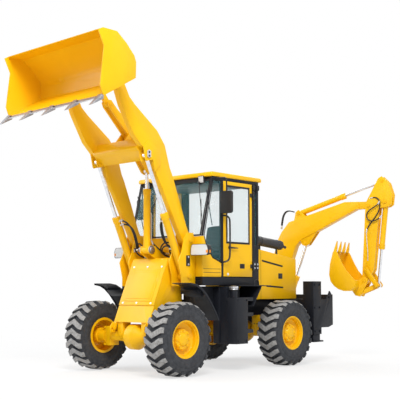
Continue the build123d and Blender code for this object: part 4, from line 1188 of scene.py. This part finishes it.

# %% [markdown]
# ## Engine hood
# The hood is one welded box. Its slots let hot air out: they could be cut through the plate, but a
# thin dark strip with rounded ends, painted shade where the opening would be, looks the same and
# leaves the box closed. A latch holds the hood shut, and the silencer, a lathe shape, lies along its
# top on two feet.


# %% Hood slots as strips of painted shade, seam and latch, and the small fittings of the door posts
def strip(shape, start, end, width, x, thick):
    """A thin plate with rounded ends along a line on a plane square to X."""
    run = Vector((0, end[0] - start[0], end[1] - start[1]))
    along, half = run.normalized(), width / 2
    side_way = Vector((0, -along.z, along.y))
    points = []
    for middle, turn in ((start, pi / 2), (end, -pi / 2)):
        for k in range(7):
            a = turn + pi * k / 6
            points.append(Vector((x, *middle)) + along * (cos(a) * half) + side_way * (sin(a) * half))
    slab(shape, points, LEFT * thick)


HOOD_X = 0.5585
HOOD_SLOTS = (((1.085, 1.728), (1.632, 1.645), 0.030), ((1.205, 1.306), (1.645, 1.282), 0.028))
STOP_BUFFER = [(0, 0.022), (0.007, 0.021), (0.010, 0.014), (0.010, 0)]
for side, word in SIDES:
    # The slots are thin dark strips: painted shade of the openings, not cuts.
    shape = bmesh.new()
    for start, end, width in HOOD_SLOTS:
        strip(shape, start, end, width, side * HOOD_X, side * 0.003)
    made(f"hood_slots_{word}", shape, *RUBBER_FITTING)
    shape = bmesh.new()
    strip(shape, (1.045, 1.090), (1.045, 1.895), 0.005, side * 0.5590, side * 0.0018)
    made(f"hood_seam_{word}", shape, *RUBBER_FITTING)
    housing(f"hood_latch_plate_{word}", side, (HOOD_X, 1.521, 1.431), (0.5640, 1.634, 1.523), *BLACK_FITTING,
            0.004)
    housing(f"hood_latch_{word}", side, (0.5600, 1.562, 1.446), (0.5700, 1.592, 1.508), CAST_IRON, "chassis",
            "black_plastic", 0.004)
    housing(f"hinge_plate_{word}", side, (0.795, 0.612, 1.568), (0.812, 0.686, 1.678), *BLACK_FITTING, 0.005)
    places = at_side(side * 0.812, [(y, z) for y in (0.575, 0.650) for z in (1.592, 1.652)])
    bolts(f"hinge_bolts_{word}", places, (side, 0, 0), ZINC, "chassis", "black_plastic")
    lathed(f"door_stop_{word}", Vector((side * DOOR_X, -0.074, 1.485)), LEFT * side, STOP_BUFFER, 24,
           WHITE_PLASTIC, "chassis", "black_plastic")
print("the hood has", 2 * len(HOOD_SLOTS), "slots")

# %% Silencer
PIPE_X = 0.400
PIPE_START, PIPE_END = Vector((PIPE_X, 1.087, 2.080)), Vector((PIPE_X, 1.808, 2.014))
pipe_way = (PIPE_END - PIPE_START).normalized()
pipe_length = (PIPE_END - PIPE_START).length
barrel = [(0, 0.030), (0, 0.052), (0.006, 0.070), (0.018, 0.079), (0.040, 0.080), (0.044, 0.083),
          (0.056, 0.083), (0.060, 0.080)]
barrel += [(pipe_length - along, radius) for along, radius in reversed(barrel)]
silencer = lathed("silencer", PIPE_START, pipe_way, barrel, 36, *IRON_FITTING)
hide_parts("muffler")
tail = [PIPE_END - pipe_way * 0.02, PIPE_END + pipe_way * 0.050]
tail += at_side(PIPE_X, [(1.905, 1.992), (1.935, 1.985)])
inlet = [PIPE_START + pipe_way * 0.02, PIPE_START - pipe_way * 0.05]
inlet += at_side(PIPE_X, [(0.998, 2.060), (0.975, 1.990), (0.975, 1.905)])
tubes("silencer_pipes", [tail, inlet], 0.026, *IRON_FITTING)
BAND = [(0, 0.0805), (0, 0.0835), (0.028, 0.0835), (0.028, 0.0805)]
HOOD_TOP_Y, HOOD_TOP_Z, HOOD_FALL = 0.895, 1.933, 0.1365
shape = bmesh.new()
for y in (1.210, 1.680):
    middle = PIPE_START + pipe_way * ((y - PIPE_START.y) / pipe_way.y)
    turned(shape, middle - pipe_way * 0.014, pipe_way, BAND, 36)
    foot = HOOD_TOP_Z - (y - HOOD_TOP_Y) * HOOD_FALL
    boxed(shape, (0.350, y - 0.020, foot - 0.004), (0.450, y + 0.020, foot + 0.006))
    boxed(shape, (0.388, y - 0.016, foot), (0.412, y + 0.016, middle.z - 0.070))
made("silencer_feet", shape, *IRON_FITTING, 0.002)
print("the silencer is", round(pipe_length, 3), "m long")

# %% [markdown]
# ## Tanks, steps and fenders
# The side tanks carry the steps. Their treads are pressed with rows of raised buttons for grip. A
# bump in the finish would look flat from the side, so each button is a real one, copied at points.
# The filler has a bright screw cap, and the fender is held to its bracket by four bolts.

# %% Filler caps
FILLER_X, FILLER_Y = 0.975, -0.140
LID = [(0, 0.060), (0, 0.068), (0.008, 0.071), (0.030, 0.070), (0.038, 0.060), (0.043, 0.030), (0.043, 0)]
GRIP_COUNT, RIM_STEPS = 18, 16


def round_way(k, count):
    """The way outwards at step k of count round an upright axis."""
    return Vector((cos(tau * k / count), sin(tau * k / count), 0))


def filler(side, word):
    """A screw cap with grips round its edge, on the ring of its neck."""
    shape = bmesh.new()
    turned(shape, Vector((side * FILLER_X, FILLER_Y, 1.262)), UP, LID, 32)
    foot = Vector((side * FILLER_X, FILLER_Y, 1.266))
    for k in range(GRIP_COUNT):
        turned(shape, foot + round_way(k, GRIP_COUNT) * 0.069, UP, [(0, 0.004), (0.026, 0.004)], 6)
    made(f"filler_cap_{word}", shape, *BRIGHT_FITTING)
    neck = Vector((side * FILLER_X, FILLER_Y, 1.250))
    rim = [neck + round_way(k, RIM_STEPS) * 0.066 for k in range(RIM_STEPS + 1)]
    tubes(f"filler_ring_{word}", [rim], 0.007, *BRIGHT_FITTING, 3)


# %% Bolts of the tanks and fenders, and the platform handles
FENDER_BOLTS = [(x, y, z) for y, z in ((-0.995, 1.2975), (-0.905, 1.2305)) for x in (0.740, 1.000)]
HANDLE = [(0.565, 1.310), (0.572, 1.385), (0.610, 1.402), (0.650, 1.402), (0.684, 1.385), (0.688, 1.312)]
for side, word in SIDES:
    filler(side, word)
    places = [(side * x, -0.2105, z) for x in (0.665, 0.900) for z in (0.470, 0.780, 1.080)]
    bolts(f"tank_bolts_front_{word}", places, -BACK, *CHARCOAL_FITTING)
    places = at_side(side * 1.050, [(y, z) for y in (-0.120, 0.085) for z in (0.460, 1.085)])
    bolts(f"tank_bolts_side_{word}", places, (side, 0, 0), *CHARCOAL_FITTING)
    places = on_side(side, FENDER_BOLTS)
    bolts(f"fender_bolts_{word}", places, (0, -0.60, 0.80), ZINC, "chassis", "paint_charcoal")
    tubes(f"platform_handle_{word}", [at_side(side * DOOR_X, HANDLE)], 0.012, *BLACK_FITTING, 3)
print("each filler cap has", GRIP_COUNT, "grips")


# %% Step treads
def button_pattern():
    """A low round button of a tread plate."""
    shape = bmesh.new()
    turned(shape, UP * -0.001, UP, [(0, 0.010), (0.004, 0.008), (0.005, 0.004), (0.005, 0)], 8)
    return pattern("button_pattern", shape)


BUTTON = button_pattern()
STEP_TOPS, PLATFORM_TOP = (0.633, 0.891, 1.125), 1.314
buttons = [(0.878 + 0.029 * i, 0.128 + 0.026 * j, z) for z in STEP_TOPS for i in range(6) for j in range(5)]
buttons += [(0.820 + 0.032 * i, 0.010 + 0.034 * j, PLATFORM_TOP) for i in range(7) for j in range(17)]
for side, word in SIDES:
    bolts(f"tread_buttons_{word}", on_side(side, buttons), UP, *CHARCOAL_FITTING, BUTTON)
print("each side's treads have", len(buttons), "buttons")

# %% Cowl: a raised lower panel with two grooves, drawn as strips of painted shade
COWL_PANEL = [(-0.651, 1.455), (-0.224, 1.455), (-0.224, 1.609), (-0.507, 1.615), (-0.620, 1.637),
              (-0.651, 1.680)]
for side, word in SIDES:
    plate(f"cowl_panel_{word}", at_side(side * 0.7955, COWL_PANEL), LEFT * (side * 0.0040), *YELLOW_FITTING,
          0.0035, 3)
    # The two grooves are thin dark strips: painted shade, not cut into the panel.
    shape = bmesh.new()
    for z in (1.562, 1.506):
        strip(shape, (-0.634, z), (-0.240, z), 0.006, side * 0.7990, side * 0.0014)
    made(f"cowl_grooves_{word}", shape, *RUBBER_FITTING)

# %% [markdown]
# ## Loader and backhoe hoses
# Oil comes from the valve between the towers. Short hoses join the valve to the towers, longer ones
# lead on to the cylinders, and steel pipes run along the barrels. The loops beside the backhoe's
# pivots are the slack that its motion needs.

# %% Loader hoses
for side, word in SIDES:
    routes = [[(0.482, -1.189 + s, 2.316 - 2 * s), (0.428, -1.178 + s, 2.330 - 2 * s),
               (0.370 - s, -1.100, 2.290 - s), (0.318 - s, -1.040, 2.150), (0.318 - s, -0.985, 1.990),
               (0.352 - s, -0.930, 1.880 + s), (0.396, -0.880 + s, 1.850 + s)] for s in (0.0, 0.030)]
    hoses(f"lift_hoses_{word}", [on_side(side, route) for route in routes], 0.0125, "lift_barrel", "chassis")
print("each lift cylinder has", len(routes), "hoses")

# %% Valve hoses between the towers
VALVE_HOSES = [
    [(0.438, -0.860, 1.900), (0.320, -0.930, 2.000), (0.190, -0.930, 1.930), (0.130, -0.900, 1.830),
     (0.145, -0.820, 1.765), (0.183, -0.702, 1.745)],
    [(0.438, -0.900, 1.840), (0.360, -0.960, 1.930), (0.240, -0.960, 1.900), (0.190, -0.920, 1.800),
     (0.220, -0.830, 1.750), (0.259, -0.702, 1.740)],
    [(0.438, -0.840, 1.780), (0.390, -0.860, 1.850), (0.330, -0.890, 1.870), (0.290, -0.850, 1.800),
     (0.320, -0.780, 1.750), (0.335, -0.702, 1.745)],
    [(-0.438, -0.860, 1.900), (-0.330, -0.930, 2.000), (-0.220, -0.930, 1.930), (-0.220, -0.880, 1.830),
     (-0.210, -0.800, 1.765), (-0.205, -0.702, 1.745)],
    [(-0.438, -0.900, 1.840), (-0.370, -0.960, 1.930), (-0.400, -0.930, 1.850), (-0.380, -0.850, 1.770),
     (-0.349, -0.702, 1.740)],
]
hoses("valve_hoses", VALVE_HOSES, 0.0115, "chassis", "chassis")
print("the valve has", len(VALVE_HOSES), "short hoses")


# %% Tilt cylinder pipe and hose
def beside_tilt(up, out):
    """A point at height up, out from the tilt cylinder's line towards the cab and the left."""
    return (0.77 * out, TILT_BASE[0] - 0.0057 * (up - TILT_BASE[1]) + 0.64 * out, up)


TILT_PIPE = [(2.432, 0.046), (2.424, 0.066), (2.370, 0.0665), (2.010, 0.0665), (1.988, 0.0665)]
pipes("tilt_pipe", [beside_tilt(up, out) for up, out in TILT_PIPE], "tilt_barrel")
TILT_HOSE = [beside_tilt(1.992, 0.0735), beside_tilt(1.955, 0.086), (0.098, -0.935, 1.900),
             (0.116, -0.840, 1.830), (0.120, -0.760, 1.802), (0.120, -0.702, 1.800)]
hoses("tilt_hose", [TILT_HOSE], 0.0105, "tilt_trunnion", "chassis")


# %% Steel pipes along the lift barrels
def beside_lift(side, run, out):
    """A point run metres up a lift cylinder's line and out from it towards the cab."""
    base_y, base_z = LIFT_BASE
    lean, rise = 0.4135, 0.9105
    return (side * LIFT_X, base_y - lean * run + rise * out, base_z + rise * run + lean * out)


LIFT_PIPE = [(0.110, 0.050), (0.125, 0.072), (0.180, 0.074), (0.820, 0.074), (0.885, 0.072), (0.900, 0.050)]
for side, word in SIDES:
    pipes(f"lift_pipe_{word}", [beside_lift(side, run, out) for run, out in LIFT_PIPE], "lift_barrel")

# %% Backhoe hoses, as (along, up, out) in its own plane
HOSE_R = 0.011
KNEE = [(0.205, 2.395), (0.225, 2.500), (0.238, 2.640), (0.310, 2.735), (0.400, 2.738), (0.505, 2.700),
        (0.560, 2.685)]
LONG_HOSE = [(1.990, 2.882, 0.070), (2.080, 2.905, 0.092), (2.160, 2.880, 0.105), (2.195, 2.760, 0.105),
             (2.150, 2.610, 0.105), (2.030, 2.460, 0.105), (1.940, 2.360, 0.104), (1.925, 2.270, 0.104)]
LOOP_HOSE = [(2.185, 2.820, 0.128), (2.140, 2.740, 0.130), (2.010, 2.690, 0.130), (1.925, 2.600, 0.130),
             (1.955, 2.490, 0.130), (2.040, 2.455, 0.130), (2.150, 2.490, 0.128), (2.215, 2.560, 0.110)]
DIPPER_PIPE = [(1.925, 2.275, 0.104), (1.922, 2.200, 0.100), (1.945, 1.900, 0.096), (1.935, 1.760, 0.092)]
knee = [[reach(along, up, out) for along, up in KNEE] for out in (-0.022, 0.022)]
hoses("knee_hoses", knee, HOSE_R, "boom", "boom")
ends = []
for name, route in (("dipper_hose_long", LONG_HOSE), ("dipper_hose_loop", LOOP_HOSE)):
    points = [reach(*place) for place in route]
    tubes(name, [points], HOSE_R, HOSE_RUBBER, "dipper", "paint_yellow")
    ends += [(points[0], points[1] - points[0]), (points[-1], points[-2] - points[-1])]
fittings("dipper_hose_ends", ends, HOSE_R, "dipper")
pipes("dipper_pipe", [reach(*place) for place in DIPPER_PIPE], "dipper")

# %% [markdown]
# ## Ram heads
# Each cylinder ends in a screwed gland, a short collar a little wider than the tube, with a narrow
# ring where the rod comes out. A lathe shape on the ram's own line, from its base pin towards its
# eye, always lies true to the barrel that it rides on.


# %% Collars on the barrels
def gland(name, rams, length, radius, rod, body):
    """The gland collars of rams, from (base, eye) points, each length metres up its barrel."""
    collar = [(-0.090, radius + 0.0015), (-0.086, radius + 0.007), (-0.012, radius + 0.007),
              (-0.004, radius + 0.001), (0.001, radius - 0.008), (0.001, rod + 0.012), (0.007, rod + 0.010),
              (0.007, rod + 0.0006)]
    shape = bmesh.new()
    for base, eye in rams:
        way = (eye - base).normalized()
        turned(shape, base + way * length, way, collar, 30)
    made(name, shape, AMBER_PAINT, body, "paint_yellow")


def in_reach(*ends):
    """The ends of one backhoe ram, as points."""
    return [[reach(*end) for end in ends]]


lift_rams = [at_side(x, (LIFT_BASE, LIFT_EYE)) for x in (-LIFT_X, LIFT_X)]
gland("lift_glands", lift_rams, 1.022, 0.056, 0.030, "lift_barrel")
gland("tilt_gland", [at_side(0, (TILT_BASE, TILT_EYE))], 0.935, 0.055, 0.030, "tilt_barrel")
gland("boom_gland", in_reach(BOOM_RAM_BASE, BOOM_RAM_EYE), 0.829, 0.060, 0.030, "boom_barrel")
gland("dipper_gland", in_reach(DIPPER_RAM_BASE, DIPPER_RAM_EYE), 0.952, 0.050, 0.026, "dipper_barrel")
gland("bucket_gland", in_reach(BUCKET_RAM_BASE, BUCKET_RAM_EYE), 0.850, 0.048, 0.025, "bucket_barrel")

# %% [markdown]
# ## Bolts
# What wears or has to come off is bolted on: the cutting edge to its bucket, and the stabilizers,
# the rear axle and the sliding carriage to the frame. All heads are one pattern at many points.

# %% Bolts of the front bucket's cutting edge
NOSE_DOWN = radians(30.7)
HEEL_Y, HEEL_Z = -2.281, 4.147
EDGE_END = 1.045
floor_way = Vector((0, -cos(NOSE_DOWN), -sin(NOSE_DOWN)))
floor_up = Vector((0, -sin(NOSE_DOWN), cos(NOSE_DOWN)))


def in_bucket(x, forward, up):
    """A point of the front bucket: forward along its floor from the heel, up from the floor."""
    return Vector((x, HEEL_Y, HEEL_Z)) + floor_way * forward + floor_up * up


across = [-1.024 + 0.512 * k + shift for k in range(5) for shift in (-0.06, 0.06)]
places = [in_bucket(max(-EDGE_END, min(EDGE_END, x)), 0.722, 0.013) for x in across]
under = [place - floor_up * 0.022 for place in places]
bolts("edge_bolts", places, floor_up, CAST_IRON, "bucket", "worn_steel")
bolts("edge_bolts_under", under, -floor_up, CAST_IRON, "bucket", "worn_steel")
print("the cutting edge has", len(places), "bolts")

# %% Bolts of the stabilizers, the rear axle and the sliding carriage
for side, word in SIDES:
    places = at_side(side * 1.050, [(y, z) for y in (1.900, 2.040) for z in (0.540, 0.940, 1.330)])
    bolts(f"stabilizer_bolts_{word}", places, (side, 0, 0), *CHARCOAL_FITTING, BIG_BOLT)
    places = [(side * x, AXLE_Y + y, 0.665) for x in (0.300, 0.360) for y in (-0.07, 0.07)]
    bolts(f"axle_bolts_{word}", places, UP, *CHARCOAL_FITTING, BIG_BOLT)
places = [(SWING_AXIS.x + x, 2.478, z) for x in (-0.25, 0.25) for z in (0.66, 0.90, 1.14)]
bolts("carriage_bolts", places, BACK, CHARCOAL_PAINT, "carriage", "paint_charcoal", BIG_BOLT)

# %% [markdown]
# ## Camera and light
# The machine stands on a pale floor under broad, soft light from above and from the left, which is
# how a catalogue shows a new one. The world seen by the camera, by glass and by chrome is white.


# %% Camera
def aim():
    """The camera at the catalogue angle: low, and three-quarters from the front left."""
    data = bpy.data.cameras.new("catalogue_camera")
    data.sensor_width = 36.0
    data.lens = 77.48
    data.shift_y = 0.0497
    camera = placed("catalogue_camera", data)
    camera.location = (9.5774, -10.2243, 1.2581)
    camera.rotation_euler = (radians(90 + 4.58), 0, radians(42.7))
    bpy.context.scene.camera = camera


aim()

# %% Floor and backdrop
WHITE = (1, 1, 1, 1)


def seen_directly(tree):
    """1 where a camera, glossy or transmission ray looks, 0 where light only bounces."""
    path = tree.nodes.new("ShaderNodeLightPath").outputs
    rays = {0: path["Is Camera Ray"], 1: path["Is Glossy Ray"]}
    total = wired(tree, "ShaderNodeMath", rays, "MAXIMUM").outputs[0]
    return wired(tree, "ShaderNodeMath", {0: total, 1: path["Is Transmission Ray"]}, "MAXIMUM").outputs[0]


def studio_floor():
    """A wide pale floor that keeps the machine's shadow and fades to white further out."""
    half = 60.0
    corners = [(-half, -half, 0), (half, -half, 0), (half, half, 0), (-half, half, 0)]
    mesh = bpy.data.meshes.new("studio_floor")
    mesh.from_pydata(corners, [], [(0, 1, 2, 3)])
    material, tree, shader = blank_finish("pale_floor")
    feed(tree, shader, {"Base Color": (0.86, 0.86, 0.86, 1), "Roughness": 0.9})
    place = tree.nodes.new("ShaderNodeTexCoord").outputs["Object"]
    distance = wired(tree, "ShaderNodeVectorMath", {0: place}, "LENGTH").outputs["Value"]
    fade = spread(tree, distance, 0.62, 1.0, 2.5, 9.0)
    share = wired(tree, "ShaderNodeMath", {0: seen_directly(tree), 1: fade}, "MULTIPLY")
    glow = wired(tree, "ShaderNodeEmission", {"Color": WHITE})
    mix = wired(tree, "ShaderNodeMixShader", {
        "Fac": share.outputs[0], 1: shader.outputs["BSDF"], 2: glow.outputs["Emission"]})
    feed(tree, tree.nodes["Material Output"], {"Surface": mix.outputs["Shader"]})
    mesh.materials.append(material)
    placed("studio_floor", mesh)


studio_floor()


# %% Sky and lamps
def soft_sky():
    """Even light all round, seen as white."""
    world = bpy.data.worlds.new("studio_sky")
    bpy.context.scene.world = world
    world.use_nodes = True
    tree = world.node_tree
    lit = tree.nodes["Background"]
    feed(tree, lit, {"Color": (0.93, 0.96, 1.0, 1), "Strength": 0.62})
    white = wired(tree, "ShaderNodeBackground", {"Color": WHITE, "Strength": 1.0})
    mix = wired(tree, "ShaderNodeMixShader", {
        "Fac": seen_directly(tree), 1: lit.outputs["Background"], 2: white.outputs["Background"]})
    feed(tree, tree.nodes["World Output"], {"Surface": mix.outputs["Shader"]})


def soft_lamp(name, place, size, power, colour=(1, 1, 1)):
    """A square area lamp that looks at the middle of the machine."""
    data = bpy.data.lights.new(name, "AREA")
    data.size = size
    data.energy = power
    data.color = colour
    lamp = placed(name, data)
    lamp.location = place
    lamp.rotation_euler = (UP * 1.5 - Vector(place)).to_track_quat("-Z", "Y").to_euler()


soft_sky()
soft_lamp("key_lamp", (7.5, -7.0, 11.0), 5.0, 1380, (1.0, 0.98, 0.94))
soft_lamp("fill_lamp", (-8.0, -6.0, 6.0), 6.0, 330)
soft_lamp("back_lamp", (-3.0, 9.0, 8.0), 5.0, 420)
bpy.context.scene.view_settings.view_transform = "Standard"
